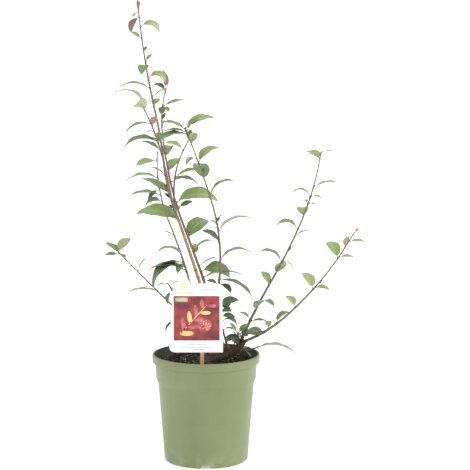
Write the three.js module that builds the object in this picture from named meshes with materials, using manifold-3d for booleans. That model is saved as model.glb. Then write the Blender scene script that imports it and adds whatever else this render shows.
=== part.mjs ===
// A camellia shrub in its deep nursery pot, with a plant label on a short stick.
// Millimetres, +Z up. The origin is the middle of the pot's flat underside, and -Y is the front.
// Every limb is a tapering tube that walks from its foot, turning by the leans given along it.
// Every leaf is a folded blade on a circular arc, rooted on the axis of its stem.

import * as THREE from 'three'
import { mergeVertices } from 'three/addons/utils/BufferGeometryUtils.js'
import Module from 'manifold-3d'

const wasm = await Module()
wasm.setup()

// Driving dimensions

const gap = 0.3                    // between neighbours that touch on the real plant
const degree = Math.PI / 180

const pot = {
  height: 172, lipRadius: 85.5, mouthRadius: 82, lipHeight: 13.5,
  bandTop: 81, bandFoot: 79.5, bandHeight: 25, shoulder: 76.5, shoulderDrop: 7,
  footRadius: 66.5, corner: 5, wall: 2.2,
  gullyOuter: 61.5, gullyInner: 42, gullyHeight: 6, sides: 40,
  notches: 4, notchWidth: 20, notchHeight: 5.5,
}

// The ground is level and flat under the trunk
const soil = { level: 157, roughness: 1.6, seat: 34, seatX: 4, seatY: 11 }

const card = {
  bottom: 185.5, top: 294.8, front: -58, thickness: 0.9,
  bottomLeft: -57, bottomRight: 27.3, topLeft: -50.2, topRight: 25.8,
  topCorner: 9, bottomCorner: 11, tabLeft: -42, tabWidth: 18, tabHeight: 9,
}

const stick = { x: -5.4, width: 6, thickness: 1.8, foot: 110, top: 282, point: 12 }

const trunk = {
  foot: [1, 9, soil.level + gap], length: 69,
  lean: [50, 83, 67, 65, 54, 18], back: [2, 5], radius: [6.6, 4.7], flare: 2, sides: 12,
}

const limbSteps = 40               // straight steps that one limb walks in
const limbSides = 8

const leafShape = {
  widthRatio: 0.47, petiole: 5.5, petioleHalf: 0.85, thickness: 1.1,
  stations: [0.2, 0.5, 0.8],       // sections of the blade, as shares of its length
}

// What a leaf may vary by, in degrees, in a share of its size and in hours
const vary = { rise: 4, arch: 4, size: 0.03, face: 4, fold: [12, 18], hour: 0.1 }

// Room that a leaf keeps from leaves of another mass, from bark, from its own mass, from the rim
// and from the card. Stems within ownStem of its root don't count.
const room = { leaf: 4.4, stem: 2.6, close: 1, rim: 5, card: 6, ownStem: 12, far: 150, spacing: 5 }
const sampleShares = [0.26, 0.35, 0.44, 0.53, 0.62, 0.71, 0.8, 0.9, 1]
const sampleAcross = [-1, -0.5, 0, 0.5, 1]
const hourTries = [0, 0.4, -0.4, 0.8, -0.8, 1.2, -1.2, 1.8, -1.8, 2.4, -2.4]

const bud = { length: 9, radius: 2.1, lean: 38, offset: [3, -1, 3] }

// A flush is one run of leaves, evenly spaced from one share of the stem's length to another.
// Hours are a clock face seen from above: 12 away from the front, 3 to the right.
// rise is the leaf's angle over square to its stem, arch its bend to the tip, and face turns its
// upper side to one edge.
function flush(from, to, hours, sizes, rise = 46, arch = 72, face = 0) {
  return { from, to, hours, sizes, rise, arch, face }
}

// A leaf that stands out by itself
function lone(at, hour, size, rise = 46, arch = 72, face = 0) {
  return flush(at, at, [hour], [size], rise, arch, face)
}

// The upright stems, the boughs to the sides and the short shoots by the trunk.
// Leans and backs are degrees from upright, to the right and away from the front.
// bare is the share of the length that the bough keeps before its foliage starts.
const shoots = [
  {
    name: 'leader', foot: [15.7, 9, 169], length: 561, bare: 0.25, radius: [3.6, 1],
    lean: [-4, -16.5, -18, -19.5, -6, -12.5, -9, -5.5], back: [-2.5, 0.5], seat: 6, seed: 11,
    buds: [0.888], 'furled': 18,
    flushes: [
      lone(0.4, 9.5, 77, 60, 68, -26),
      flush(0.43, 0.49, [8.5, 9.5, 8], [15, 17, 14], 72, 30, -30),
      lone(0.48, 10, 62, 45, 28),
      lone(0.53, 9, 32, 70, 55),
      flush(0.73, 0.74, [0.5, 9.5], [27, 14], 40, 30),
      lone(0.755, 3, 34, 32, 42),
      lone(0.778, 9, 56, 49, 84),
      lone(0.805, 3.2, 40, 62, 172, 24),
      lone(0.846, 6.4, 37, 10, 62),
      lone(0.852, 2.7, 18, 71, 50, 25),
      lone(0.917, 9, 23, 58, 30, -30),
      lone(0.95, 3, 42, 50, 150, 20),
      lone(0.98, 7.5, 34, 0, 96),
      lone(0.993, 9.5, 14, 10, 85, 27),
      lone(1, 3.5, 14, 88, 20, -30),
    ],
  },
  {
    name: 'second', from: ['leader', 0.4], length: 192, radius: [2.1, 1.1],
    lean: [-19, -9, -16, -26.5], back: [-20.5, -4], seed: 12, buds: [],
    flushes: [
      lone(0.63, 9.5, 38, 58, 48),
      flush(0.7, 0.71, [0, 10.5], [24, 20], 55, 40),
      lone(0.71, 9, 61, 50, 84, -8),
      lone(0.795, 9, 14, 57, 85, -13),
      lone(0.84, 0.5, 25, 63, 57),
      lone(0.873, 9, 48, 37, 70),
      lone(0.985, 6.8, 48, 75, 97, 41),
      lone(1, 9.3, 66, 112, 130, 8),
    ],
  },
  {
    name: 'inner', from: ['leader', 0.415], length: 131, radius: [1.9, 1],
    lean: [-13.5, 1, 19.5, 33.5], back: [8, 22, 40], seed: 13, buds: [],
    flushes: [
      lone(0.465, 3, 43, 43, 40, 10),
      lone(0.83, 9, 36, 40, 84, -15),
    ],
  },
  {
    name: 'rear', foot: [28, 14, 174], length: 431, bare: 0.27, radius: [3.1, 0.95],
    lean: [-14, -16, -20, -20.5, -11.5, -6.5, 16], back: [4.5, 0.5], seat: 6, seed: 21, buds: [],
    flushes: [
      lone(0.302, 3.5, 58, 22, 105, 32),
      lone(0.28, 2.9, 69, 10, 59, -10),
      lone(0.325, 3, 36, 28, 38),
      lone(0.367, 12, 26, 66, 50),
      lone(0.385, 3, 40, 36, 60),
      lone(0.435, 1.5, 61, 59, 88, 26),
      lone(0.556, 3, 27, 20, 20, 32),
      lone(0.573, 3.5, 13, -44, 99, 50),
      lone(0.572, 3, 73, 29, 90, 27),
      lone(0.652, 3, 50, 29, 92, 10),
      lone(0.69, 1, 42, 58, 70),
      lone(0.743, 1, 38, 92, 122),
      flush(0.86, 0.88, [3, 2], [13, 15], 75, 20, 20),
      lone(0.895, 0, 26, 93, 97),
      lone(0.932, 3.5, 15, 35, 138, 39),
      lone(0.935, 3, 36, 37, 24, 10),
      lone(0.985, 3, 12, 17, 70),
      lone(0.988, 9.5, 27, 62, 104, -20),
      lone(1, 11.5, 35, 92, 64, 48),
    ],
  },
  {
    name: 'front', foot: [8, 8, 165], length: 351, bare: 0.42, radius: [2.4, 0.95],
    lean: [-17, -13.5, -21, 4], back: [-8, -12], seat: 4, seed: 31, buds: [],
    flushes: [
      lone(0.425, 9, 66, 47, 70),
      lone(0.44, 8.5, 74, 50, 126, -2),
      lone(0.465, 9, 42, 36, 50, 9),
      lone(0.47, 7, 27, 0, 40),
      lone(0.485, 9, 56, 90, 136, 8),
      lone(0.6, 9.5, 21, 52, 20),
      lone(0.765, 9, 32, 56, 114, -20),
      lone(0.797, 9, 54, 34, 53),
      lone(0.83, 8.5, 26, -15, 33, -20),
      lone(0.88, 9, 56, 34, 70),
      lone(0.96, 8, 39, 18, 47, -15),
    ],
  },
  {
    name: 'upright', foot: [22.5, 8.5, 172], length: 372, bare: 0.29, radius: [2.6, 0.95],
    lean: [-6.5, 5.5, -16.5, -22], back: [-7, -5.5], seat: 7, seed: 41, buds: [0.583],
    flushes: [
      lone(0.3, 9, 22, 46, 58, -23),
      lone(0.305, 4, 28, 20, 85, 8),
      lone(0.325, 3, 66, 10, 69, -4),
      lone(0.41, 3, 61, 64, 101),
      lone(0.482, 9, 38, 77, 68, -20),
      lone(0.535, 3, 65, 52, 86, -8),
      lone(0.55, 9, 20, 90, 79, -10),
      lone(0.59, 3, 13, 40, 20, 13),
      lone(0.693, 3, 55, 62, 97),
      lone(0.768, 11.5, 57, 46, 51),
      lone(0.79, 2.5, 13, 70, 30, 20),
      lone(0.845, 2, 50, 50, 88, 8),
      lone(0.86, 9.5, 25, 53, 139, 25),
      lone(0.927, 0, 41, 48, 56),
      lone(0.973, 8.4, 58, 44, 70, -10),
      flush(0.965, 0.985, [1, 10, 4, 3], [14, 15, 14, 30], 50, 40, 20),
      lone(0.985, 9, 38, 44, 37, -8),
      lone(0.995, 9.2, 46, 58, 54, -4),
      lone(1, 2.5, 54, 22, 60, 14),
    ],
  },
  {
    name: 'right_tall', foot: [54, 14, 186], length: 332, bare: 0.095, radius: [2.5, 0.95],
    lean: [24, 31, 23, 9], back: [12, 8], seed: 51, buds: [0.5],
    flushes: [
      lone(0.113, 3, 29, 47, 35, 6),
      lone(0.12, 9.3, 24, 42, 63, -15),
      lone(0.168, 4.5, 53, 81, 116),
      lone(0.307, 11, 33, 80, 90),
      lone(0.372, 1, 39, 63, 31, 9),
      lone(0.435, 9, 49, 43, 107),
      lone(0.44, 3, 27, 36, 105),
      lone(0.575, 3, 27, 70, 47),
      lone(0.61, 9, 43, 54, 128, -6),
      lone(0.677, 0, 42, 63, 68),
      lone(0.74, 8.5, 11, 55, 20, 47),
      lone(0.745, 3, 12, 50, 55, 25),
      lone(0.777, 9, 40, 61, 135),
      lone(0.78, 3, 24, 49, 92, 12),
      lone(0.83, 3, 44, 54, 53),
      lone(0.97, 11, 47, 38, 46, -6),
      lone(1, 3, 27, 47, 75),
    ],
  },
  {
    name: 'right_low', foot: [57, 13, 187], length: 264, bare: 0.16, radius: [2.5, 0.95],
    lean: [66, 45.5, 37.5, 27.5], back: [-18.5, -8.5], seed: 61, buds: [0.63],
    flushes: [
      lone(0.17, 8.5, 34, -30, 20, -55),
      lone(0.193, 0, 24, 49, 74),
      lone(0.255, 2.5, 34, 131, 104, 10),
      lone(0.417, 11, 35, 28, 75),
      lone(0.575, 11, 44, 45, 90),
      lone(0.585, 3, 27, 65, 74, 17),
      lone(0.82, 11, 48, 48, 96),
      lone(0.828, 3, 26, 56, 50, 10),
      lone(0.895, 1, 24, 83, 50, -12),
      lone(0.945, 3, 28, 46, 43, 9),
      lone(1, 2.5, 13, 81, 20, 26),
    ],
  },
  {
    name: 'left_low', foot: [13, 17, 170.5], length: 223, bare: 0.57, radius: [2.2, 0.9],
    lean: [-40, -48, -45], back: [16, 10], seat: 10, seed: 71, buds: [],
    flushes: [
      lone(0.607, 9, 54, 63, 49, 9),
      lone(0.8, 3, 30, 44, 57),
      lone(0.92, 9.5, 14, 125, 64, -21),
      lone(0.985, 8.5, 27, 44, 20, -21),
      lone(0.99, 10.5, 37, 76, 28),
      lone(1, 1, 41, 45, 62, 9),
    ],
  },
  {
    name: 'short_right', foot: [35, 12.5, 177], length: 71, bare: 0, radius: [2, 1],
    lean: [-20, -6], back: [30, -1], seat: 6, seed: 81, buds: [],
    flushes: [
      flush(0.42, 0.62, [3, 3.5], [22, 33], 45, 125, 6),
      flush(0.74, 0.8, [3, 11.5], [26, 28], 20, 70, 30),
      flush(0.86, 0.93, [4.5, 2], [30, 24], 35, 60, 40),
      flush(0.97, 1, [3.2, 10, 5.5], [36, 24, 28], 40, 55, 45),
    ],
  },
  {
    name: 'short_left', foot: [3, 10.5, 161], length: 137, bare: 0, radius: [2, 1],
    lean: [-23, -31.5], back: [2, -6], seed: 91, buds: [],
    flushes: [
      lone(0.36, 9, 71, 102, 160, 9),
      flush(0.9, 0.96, [12, 3], [22, 18], 40, 75),
      lone(0.92, 9.5, 26, -20, 60, 20),
      lone(1, 9, 24, 60, 100),
    ],
  },
  {
    name: 'fork_sprig', foot: [50.5, 13, 182.5], length: 19, bare: 0, radius: [2.2, 1.1],
    lean: [10, -10], back: [-14, -4], seat: 2, seed: 101, buds: [],
    flushes: [
      lone(0.9, 7.6, 28, 20, 50, -30),
      lone(0.995, 7.1, 25, 12, 63, -20),
      lone(0.7, 6.4, 20, 10, 51),
      lone(0.82, 9, 27, 37, 20, -38),
      lone(0.995, 9.6, 24, 80, 36, -35),
      lone(1, 1.6, 24, 45, 40, 35),
      lone(0.99, 2.9, 25, 12, 30, 42),
      lone(0.75, 4, 22, 34, 50, 18),
      lone(0.6, 8, 24, 40, 60, -20),
    ],
  },
  {
    name: 'rim_sprig', foot: [48, 12, 174.5], length: 38, bare: 0, radius: [1.7, 1.2],
    lean: [93, 66], back: [-8, -6], seed: 111, buds: [],
    flushes: [
      lone(0.28, 1, 22, 50, 60),
      lone(0.36, 4.6, 21, 34, 50, -30),
      lone(0.95, 3, 66, 87, 69, -10),
    ],
  },
]

const colours = {
  pot: '#93a06c', soil: '#2b2119', card: '#f2f1ec', stick: '#c9a877',
  bark: '#6e5142', foliage: '#5f8440',
}

// Numbers from one seed, the same on every run

function dice(seed) {
  let state = seed * 48271
  return (low, high) => {
    state = (state * 16807) % 2147483647
    return low + (high - low) * state / 2147483647
  }
}

// Limbs

function between(values, share) {
  const place = Math.max(0, Math.min(1, share)) * (values.length - 1)
  const first = Math.min(Math.floor(place), values.length - 2)
  return values[first] + (values[first + 1] - values[first]) * (place - first)
}

function heading(limb, share) {
  const lean = between(limb.lean, share) * degree
  const back = between(limb.back, share) * degree
  return new THREE.Vector3(
    Math.sin(lean) * Math.cos(back), Math.sin(back), Math.cos(lean) * Math.cos(back))
}

function walk(limb) {
  const points = [new THREE.Vector3(...limb.foot)]
  for (let i = 0; i < limbSteps; i++) {
    const step = heading(limb, (i + 0.5) / limbSteps).multiplyScalar(limb.length / limbSteps)
    points.push(points[i].clone().add(step))
  }
  return points
}

function along(limb, share) {
  const place = share * limbSteps
  const first = Math.max(0, Math.min(Math.floor(place), limbSteps - 1))
  return limb.path[first].clone().lerp(limb.path[first + 1], place - first)
}

function thickness(limb, share) {
  return limb.radius[0] + (limb.radius[1] - limb.radius[0]) * Math.max(0, share) ** 0.8
}

// A closed surface as a solid, for joining and cutting
function toSolid(geometry) {
  geometry.deleteAttribute('normal')
  geometry.deleteAttribute('uv')
  const merged = mergeVertices(geometry)
  return new wasm.Manifold(new wasm.Mesh({
    numProp: 3,
    vertProperties: Float32Array.from(merged.attributes.position.array),
    triVerts: Uint32Array.from(merged.index.array),
  }))
}

function toGeometry(solid) {
  const mesh = solid.getMesh()
  const geometry = new THREE.BufferGeometry()
  geometry.setAttribute('position', new THREE.BufferAttribute(mesh.vertProperties, 3))
  geometry.setIndex(new THREE.BufferAttribute(mesh.triVerts, 1))
  geometry.computeVertexNormals()
  return geometry
}

// A cylinder bent along a limb, from one share of its length to another.
// A negative share runs straight back from the foot.
function tube(limb, from, to, steps, sides, grow = 0, flare = 0) {
  const geometry = new THREE.CylinderGeometry(1, 1, 1, sides, steps)
  const position = geometry.attributes.position
  for (let i = 0; i < position.count; i++) {
    const share = from + (to - from) * (position.getY(i) + 0.5)
    const forward = heading(limb, share)
    const side = forward.clone().cross(new THREE.Vector3(0, 1, 0)).normalize()
    const third = side.clone().cross(forward)
    const radius = thickness(limb, share) + flare * Math.max(0, 1 - share * 5) ** 2 + grow
    const point = along(limb, share)
      .addScaledVector(side, position.getX(i) * radius)
      .addScaledVector(third, position.getZ(i) * radius)
    position.setXYZ(i, point.x, point.y, point.z)
  }
  return toSolid(geometry)
}

// Leaves

// A point of the blade: s runs from root to tip, across from edge to edge, lift off its face
function leafPoint(leaf, s, across, lift) {
  const angle = leaf.rise + leaf.turn * s
  const reach = leaf.length * (Math.sin(angle) - Math.sin(leaf.rise)) / leaf.turn
  const height = leaf.length * (Math.cos(leaf.rise) - Math.cos(angle)) / leaf.turn
  const out = new THREE.Vector3(Math.cos(leaf.azimuth), Math.sin(leaf.azimuth), 0)
  const forward = out.clone().multiplyScalar(Math.cos(angle))
  forward.z = Math.sin(angle)
  const level = new THREE.Vector3(Math.sin(leaf.azimuth), -Math.cos(leaf.azimuth), 0)
  const side = level.applyAxisAngle(forward, leaf.roll * Math.min(1, s * 3))
  const normal = side.clone().cross(forward)
  const half = halfWidth(leaf, s) * across
  const point = leaf.root.clone().addScaledVector(out, reach)
  point.z += height
  return point
    .addScaledVector(side, half * Math.cos(leaf.fold))
    .addScaledVector(normal, Math.abs(half) * Math.sin(leaf.fold) + lift)
}

function halfWidth(leaf, s) {
  const blade = (s - leaf.petiole) / (1 - leaf.petiole)
  if (blade <= 0) {
    return leafShape.petioleHalf
  }
  const swell = Math.sin(Math.PI * Math.min(1, blade) ** 0.8)
  const drawnOut = 0.62 + 0.42 * blade
  return Math.max(leafShape.petioleHalf * (1 - blade), leaf.width * Math.max(0, swell) ** drawnOut)
}

function leafSolid(leaf) {
  const blade = leafShape.stations.map((b) => leaf.petiole + (1 - leaf.petiole) * b)
  const shares = [0, leaf.petiole, ...blade, 1]
  const rings = shares.length - 1
  const geometry = new THREE.ConeGeometry(1, 1, 4, rings)
  const position = geometry.attributes.position
  for (let i = 0; i < position.count; i++) {
    const height = position.getY(i)
    const ring = Math.round((height + 0.5) * rings)
    const taper = ring === rings ? 1 : 0.5 - height
    const lift = position.getZ(i) / taper * leafShape.thickness / 2
    const point = leafPoint(leaf, shares[ring], position.getX(i) / taper, ring === rings ? 0 : lift)
    position.setXYZ(i, point.x, point.y, point.z)
  }
  return toSolid(geometry)
}

// A pointed flower bud on the side of a stem
function budSolid(limb, share) {
  const geometry = new THREE.SphereGeometry(1, 6, 4)
  geometry.scale(bud.radius, bud.radius, bud.length / 2)
  geometry.rotateY(bud.lean * degree)
  const place = along(limb, share).add(new THREE.Vector3(...bud.offset))
  geometry.translate(place.x, place.y, place.z)
  return toSolid(geometry)
}

function leafSamples(leaf) {
  return sampleShares.flatMap((s) => sampleAcross.map((across) => leafPoint(leaf, s, across, 0)))
}

// Limbs and leaves that a new leaf has to stay clear of

trunk.path = walk(trunk)
const shootNamed = {}
for (const shoot of shoots) {
  if (shoot.from) {
    const [parent, share] = shoot.from
    shoot.foot = along(shootNamed[parent], share).toArray()
    shoot.mass = parent
    shoot.bare = 0
  } else {
    shoot.mass = shoot.name
  }
  shoot.path = walk(shoot)
  shootNamed[shoot.name] = shoot
}

// Bare limbs belong to no mass
const stemSamples = []
for (const limb of [trunk, ...shoots]) {
  const pieces = Math.ceil(limb.length / room.spacing)
  for (let i = 0; i <= pieces; i++) {
    const share = i / pieces
    stemSamples.push({
      point: along(limb, share), radius: thickness(limb, share),
      mass: limb !== trunk && share >= limb.bare ? limb.mass : '',
    })
  }
}

const placed = []

function clearOfPot(point) {
  const radius = Math.hypot(point.x, point.y)
  const inRim = radius > pot.mouthRadius - room.rim && radius < pot.lipRadius + room.rim
  if (inRim && point.z < pot.height + room.rim) {
    return false
  }
  return radius > pot.mouthRadius || point.z >= soil.level + room.rim
}

function clearOfCard(point) {
  const across = point.x > card.bottomLeft - room.card && point.x < card.bottomRight + room.card
  const below = point.z < card.top + card.tabHeight + room.card
  return !(across && below && Math.abs(point.y - card.front) < room.card)
}

// Leaves keep well off the other masses and the bare limbs, and may come close within their own
function clearOfThings(samples, root, mass) {
  if (!samples.every((point) => clearOfPot(point) && clearOfCard(point))) {
    return false
  }
  for (const stem of stemSamples) {
    const space = stem.radius + (stem.mass === mass ? 0 : room.stem)
    const counts = stem.point.distanceTo(root) > room.ownStem
    if (counts && samples.some((point) => point.distanceTo(stem.point) < space)) {
      return false
    }
  }
  for (const other of placed) {
    const space = other.mass === mass ? room.close : room.leaf
    const near = other.samples[1].distanceTo(samples[1]) <= room.far
    if (near && samples.some((point) => other.samples.some((q) => q.distanceTo(point) < space))) {
      return false
    }
  }
  return true
}

// The leaves of one shoot. Six draws for each leaf keep the sequence whole when one is skipped.
function growLeaves(shoot) {
  const draw = dice(shoot.seed)
  const leaves = []
  for (const run of shoot.flushes) {
    const last = run.hours.length - 1
    run.hours.forEach((hour, i) => {
      const share = run.from + (run.to - run.from) * (last ? i / last : 1)
      const rise = (run.rise + draw(-vary.rise, vary.rise)) * degree
      const turn = -(run.arch + draw(-vary.arch, vary.arch)) * degree
      const length = run.sizes[i] * (1 + draw(-vary.size, vary.size))
      const roll = (run.face + draw(-vary.face, vary.face)) * degree
      const fold = draw(...vary.fold) * degree
      const hourDrift = draw(-vary.hour, vary.hour)
      const root = along(shoot, share)
      const forward = heading(shoot, share)
      for (const nudge of hourTries) {
        const azimuth = (3 - hour - hourDrift - nudge) * 30 * degree
        const leanTowards = Math.asin(forward.x * Math.cos(azimuth) + forward.y * Math.sin(azimuth))
        const leaf = {
          root, azimuth, turn, length, roll, fold, rise: rise - leanTowards,
          width: length * leafShape.widthRatio / 2, petiole: leafShape.petiole / length,
        }
        const samples = leafSamples(leaf)
        if (clearOfThings(samples, root, shoot.mass)) {
          placed.push({ samples, mass: shoot.mass })
          leaves.push(leaf)
          break
        }
      }
    })
  }
  return leaves
}

// The pot, soil and label

function lathe(profile, sides) {
  const geometry = new THREE.LatheGeometry(profile.map(([r, z]) => new THREE.Vector2(r, z)), sides)
  geometry.rotateX(Math.PI / 2)
  return geometry
}

const lipFoot = pot.height - pot.lipHeight
const bandFoot = lipFoot - pot.bandHeight
const shoulderFoot = bandFoot - pot.shoulderDrop
const floorTop = pot.gullyHeight + pot.wall

function potSolid() {
  const body = toSolid(lathe([
    [0, 0], [pot.gullyInner - 2, 0], [pot.gullyInner, pot.gullyHeight],
    [pot.gullyOuter, pot.gullyHeight], [pot.gullyOuter + 0.5, 0],
    [pot.footRadius - pot.corner, 0], [pot.footRadius - 1.3, 1.3], [pot.footRadius, pot.corner],
    [pot.shoulder, shoulderFoot], [pot.bandFoot, bandFoot], [pot.bandTop, lipFoot],
    [pot.lipRadius - 0.8, lipFoot + 0.6], [pot.lipRadius, lipFoot + 3], [pot.lipRadius, pot.height - 3],
    [pot.lipRadius - 1, pot.height - 0.6], [pot.mouthRadius + 1, pot.height],
    [pot.mouthRadius, pot.height - 1.4], [pot.bandTop - pot.wall, lipFoot - 1],
    [pot.bandFoot - pot.wall, bandFoot], [pot.shoulder - pot.wall, shoulderFoot],
    [pot.footRadius - pot.wall, floorTop], [pot.gullyInner - 1, floorTop],
    [pot.gullyInner - 2 - pot.wall, pot.wall], [0, pot.wall],
  ], pot.sides))
  const arch = new THREE.Shape()
  const half = pot.notchWidth / 2
  arch.moveTo(-half, -1)
  arch.lineTo(half, -1)
  arch.quadraticCurveTo(half - 1, pot.notchHeight, half - 5, pot.notchHeight)
  arch.lineTo(5 - half, pot.notchHeight)
  arch.quadraticCurveTo(1 - half, pot.notchHeight, -half, -1)
  let cut = body
  for (let i = 0; i < pot.notches; i++) {
    const notch = new THREE.ExtrudeGeometry(arch, { depth: 14, bevelEnabled: false, curveSegments: 4 })
    notch.rotateX(Math.PI / 2)
    notch.translate(0, -(pot.gullyOuter - 4), 0)
    notch.rotateZ(i * 2 * Math.PI / pot.notches)
    cut = cut.subtract(toSolid(notch))
  }
  return cut
}

const stickMiddle = card.front + card.thickness + gap + stick.thickness / 2

function soilSolid() {
  const loose = gap + 0.1
  const slope = (pot.shoulder - pot.footRadius) / (shoulderFoot - pot.corner)
  const wallAt = (z) => pot.footRadius + slope * (z - pot.corner)
  const outer = pot.bandTop - pot.wall - loose - 0.3
  const geometry = lathe([
    [0, pot.wall + gap], [pot.gullyInner - 2.8 - pot.wall, pot.wall + gap],
    [pot.gullyInner - 1.6, floorTop + gap],
    [wallAt(floorTop) - pot.wall - loose - 1, floorTop + gap],
    [pot.shoulder - pot.wall - loose, shoulderFoot], [pot.bandFoot - pot.wall - loose, bandFoot + 0.2],
    [outer, soil.level - 1], [outer * 0.94, soil.level], [outer * 0.8, soil.level],
    [outer * 0.62, soil.level], [outer * 0.44, soil.level], [outer * 0.26, soil.level], [0, soil.level],
  ], pot.sides)
  const position = geometry.attributes.position
  for (let i = 0; i < position.count; i++) {
    const x = position.getX(i)
    const y = position.getY(i)
    const fromSeat = Math.hypot(x - soil.seatX, y - soil.seatY)
    const fade = Math.min(1, Math.max(0, fromSeat / soil.seat - 1))
    const bump = Math.sin(x * 0.21 + 1) * Math.cos(y * 0.17) + 0.6 * Math.sin(x * 0.43 + y * 0.37)
    if (position.getZ(i) > soil.level - 0.5) {
      position.setZ(i, soil.level + fade * soil.roughness * Math.min(0.8, bump))
    }
  }
  const overGround = 20
  const deep = soil.level - stick.foot + overGround
  const slot = new THREE.BoxGeometry(stick.width + 2 * gap, stick.thickness + 2 * gap, deep)
  slot.translate(stick.x, stickMiddle, stick.foot - gap + deep / 2)
  return toSolid(geometry).subtract(toSolid(slot))
}

function stickSolid() {
  const outline = new THREE.Shape()
  const half = stick.width / 2
  outline.moveTo(0, stick.foot)
  outline.lineTo(half, stick.foot + stick.point)
  outline.lineTo(half, stick.top - half)
  outline.absarc(0, stick.top - half, half, 0, Math.PI, false)
  outline.lineTo(-half, stick.foot + stick.point)
  const geometry = new THREE.ExtrudeGeometry(outline, {
    depth: stick.thickness, bevelEnabled: false, curveSegments: 6,
  })
  geometry.rotateX(Math.PI / 2)
  geometry.translate(stick.x, stickMiddle + stick.thickness / 2, 0)
  return toSolid(geometry)
}

function cardSolid() {
  const outline = new THREE.Shape()
  const r = card.topCorner
  const b = card.bottomCorner
  outline.moveTo(card.bottomLeft + b, card.bottom)
  outline.lineTo(card.bottomRight, card.bottom)
  outline.lineTo(card.topRight, card.top - r)
  outline.quadraticCurveTo(card.topRight, card.top, card.topRight - r, card.top)
  outline.lineTo(card.tabLeft + card.tabWidth, card.top)
  outline.absarc(card.tabLeft + card.tabWidth / 2, card.top, card.tabHeight, 0, Math.PI, false)
  outline.lineTo(card.topLeft + r, card.top)
  outline.quadraticCurveTo(card.topLeft, card.top, card.topLeft - 0.4, card.top - r)
  outline.lineTo(card.bottomLeft, card.bottom + b)
  outline.quadraticCurveTo(card.bottomLeft, card.bottom, card.bottomLeft + b, card.bottom)
  const geometry = new THREE.ExtrudeGeometry(outline, {
    depth: card.thickness, bevelEnabled: false, curveSegments: 6,
  })
  geometry.rotateX(Math.PI / 2)
  geometry.translate(0, card.front + card.thickness, 0)
  return toSolid(geometry)
}

// The trunk, its boughs and the masses of foliage

// The foot is cut flat at the ground
function trunkSolid(grow) {
  const deep = 60
  const ground = new THREE.BoxGeometry(2 * pot.mouthRadius, 2 * pot.mouthRadius, deep)
  ground.translate(0, 0, trunk.foot[2] - deep / 2)
  const whole = tube(trunk, -0.16, 1, 9, trunk.sides, grow, trunk.flare)
  return grow ? whole : whole.subtract(toSolid(ground))
}

const trunkWithRoom = trunkSolid(gap)

// A seat is how far a limb runs straight back from its foot, into the trunk
function seatShare(shoot) {
  return -(shoot.seat ?? 0) / shoot.length
}

function boughSolid(shoot) {
  const steps = Math.max(3, Math.round(shoot.bare * shoot.length / 28))
  const split = shoot.bare - gap / 2 / shoot.length
  return tube(shoot, seatShare(shoot), split, steps, limbSides).subtract(trunkWithRoom)
}

function stemSolid(shoot) {
  const start = shoot.bare ? shoot.bare + gap / 2 / shoot.length : seatShare(shoot)
  const steps = Math.max(3, Math.round((1 - start) * shoot.length / 34))
  const stem = tube(shoot, start, 1, steps, limbSides - 2)
  return shoot.bare || shoot.from ? stem : stem.subtract(trunkWithRoom)
}

function foliageSolid(name) {
  const members = shoots.filter((shoot) => shoot.mass === name)
  let solid = stemSolid(members[0])
  for (const side of members.slice(1)) {
    solid = solid.add(stemSolid(side))
  }
  for (const shoot of members) {
    for (const leaf of shoot.leaves) {
      solid = solid.add(leafSolid(leaf))
    }
    for (const share of shoot.buds) {
      solid = solid.add(budSolid(shoot, share))
    }
  }
  return solid
}

for (const shoot of shoots) {
  shoot.leaves = growLeaves(shoot)
}

const plant = new THREE.Group()
plant.name = 'camellia_shrub'

function part(name, solid, colour, roughness) {
  const material = new THREE.MeshStandardMaterial({ color: colour, roughness, metalness: 0 })
  const mesh = new THREE.Mesh(toGeometry(solid), material)
  mesh.name = name
  plant.add(mesh)
}

part('pot', potSolid(), colours.pot, 0.55)
part('soil', soilSolid(), colours.soil, 0.95)
part('label_stick', stickSolid(), colours.stick, 0.7)
part('label_card', cardSolid(), colours.card, 0.4)
part('trunk', trunkSolid(0), colours.bark, 0.85)
for (const shoot of shoots.filter((each) => each.bare)) {
  part(`bough_${shoot.name}`, boughSolid(shoot), colours.bark, 0.8)
}
for (const shoot of shoots.filter((each) => !each.from)) {
  part(`foliage_${shoot.name}`, foliageSolid(shoot.name), colours.foliage, 0.45)
}

export default plant
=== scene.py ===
import math
import random

import bpy
import numpy as np
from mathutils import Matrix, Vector, kdtree, noise


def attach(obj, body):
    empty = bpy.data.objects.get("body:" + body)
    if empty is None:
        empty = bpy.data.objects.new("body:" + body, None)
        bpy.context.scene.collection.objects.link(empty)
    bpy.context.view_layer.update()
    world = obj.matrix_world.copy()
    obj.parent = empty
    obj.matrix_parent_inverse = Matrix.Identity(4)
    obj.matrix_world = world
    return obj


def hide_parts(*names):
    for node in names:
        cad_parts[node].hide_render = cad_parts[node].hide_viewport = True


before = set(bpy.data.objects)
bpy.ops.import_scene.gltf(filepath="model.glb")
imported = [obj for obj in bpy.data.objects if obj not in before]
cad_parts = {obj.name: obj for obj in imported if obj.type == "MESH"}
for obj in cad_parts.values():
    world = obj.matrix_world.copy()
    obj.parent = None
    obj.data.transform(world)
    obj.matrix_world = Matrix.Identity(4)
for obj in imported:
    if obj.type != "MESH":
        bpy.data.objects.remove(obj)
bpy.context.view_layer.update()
mm = 0.001  # sizes below are millimetres, as in the part's own drawing
degree = math.pi / 180
up = np.array([0, 0, 1.0])
gap = 0.3  # room between neighbours that touch on the real plant
print("frame loaded:", len(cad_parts), "nodes")


# Shader maths: a wire is one output socket that adds Math nodes when it is used in a sum

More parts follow.
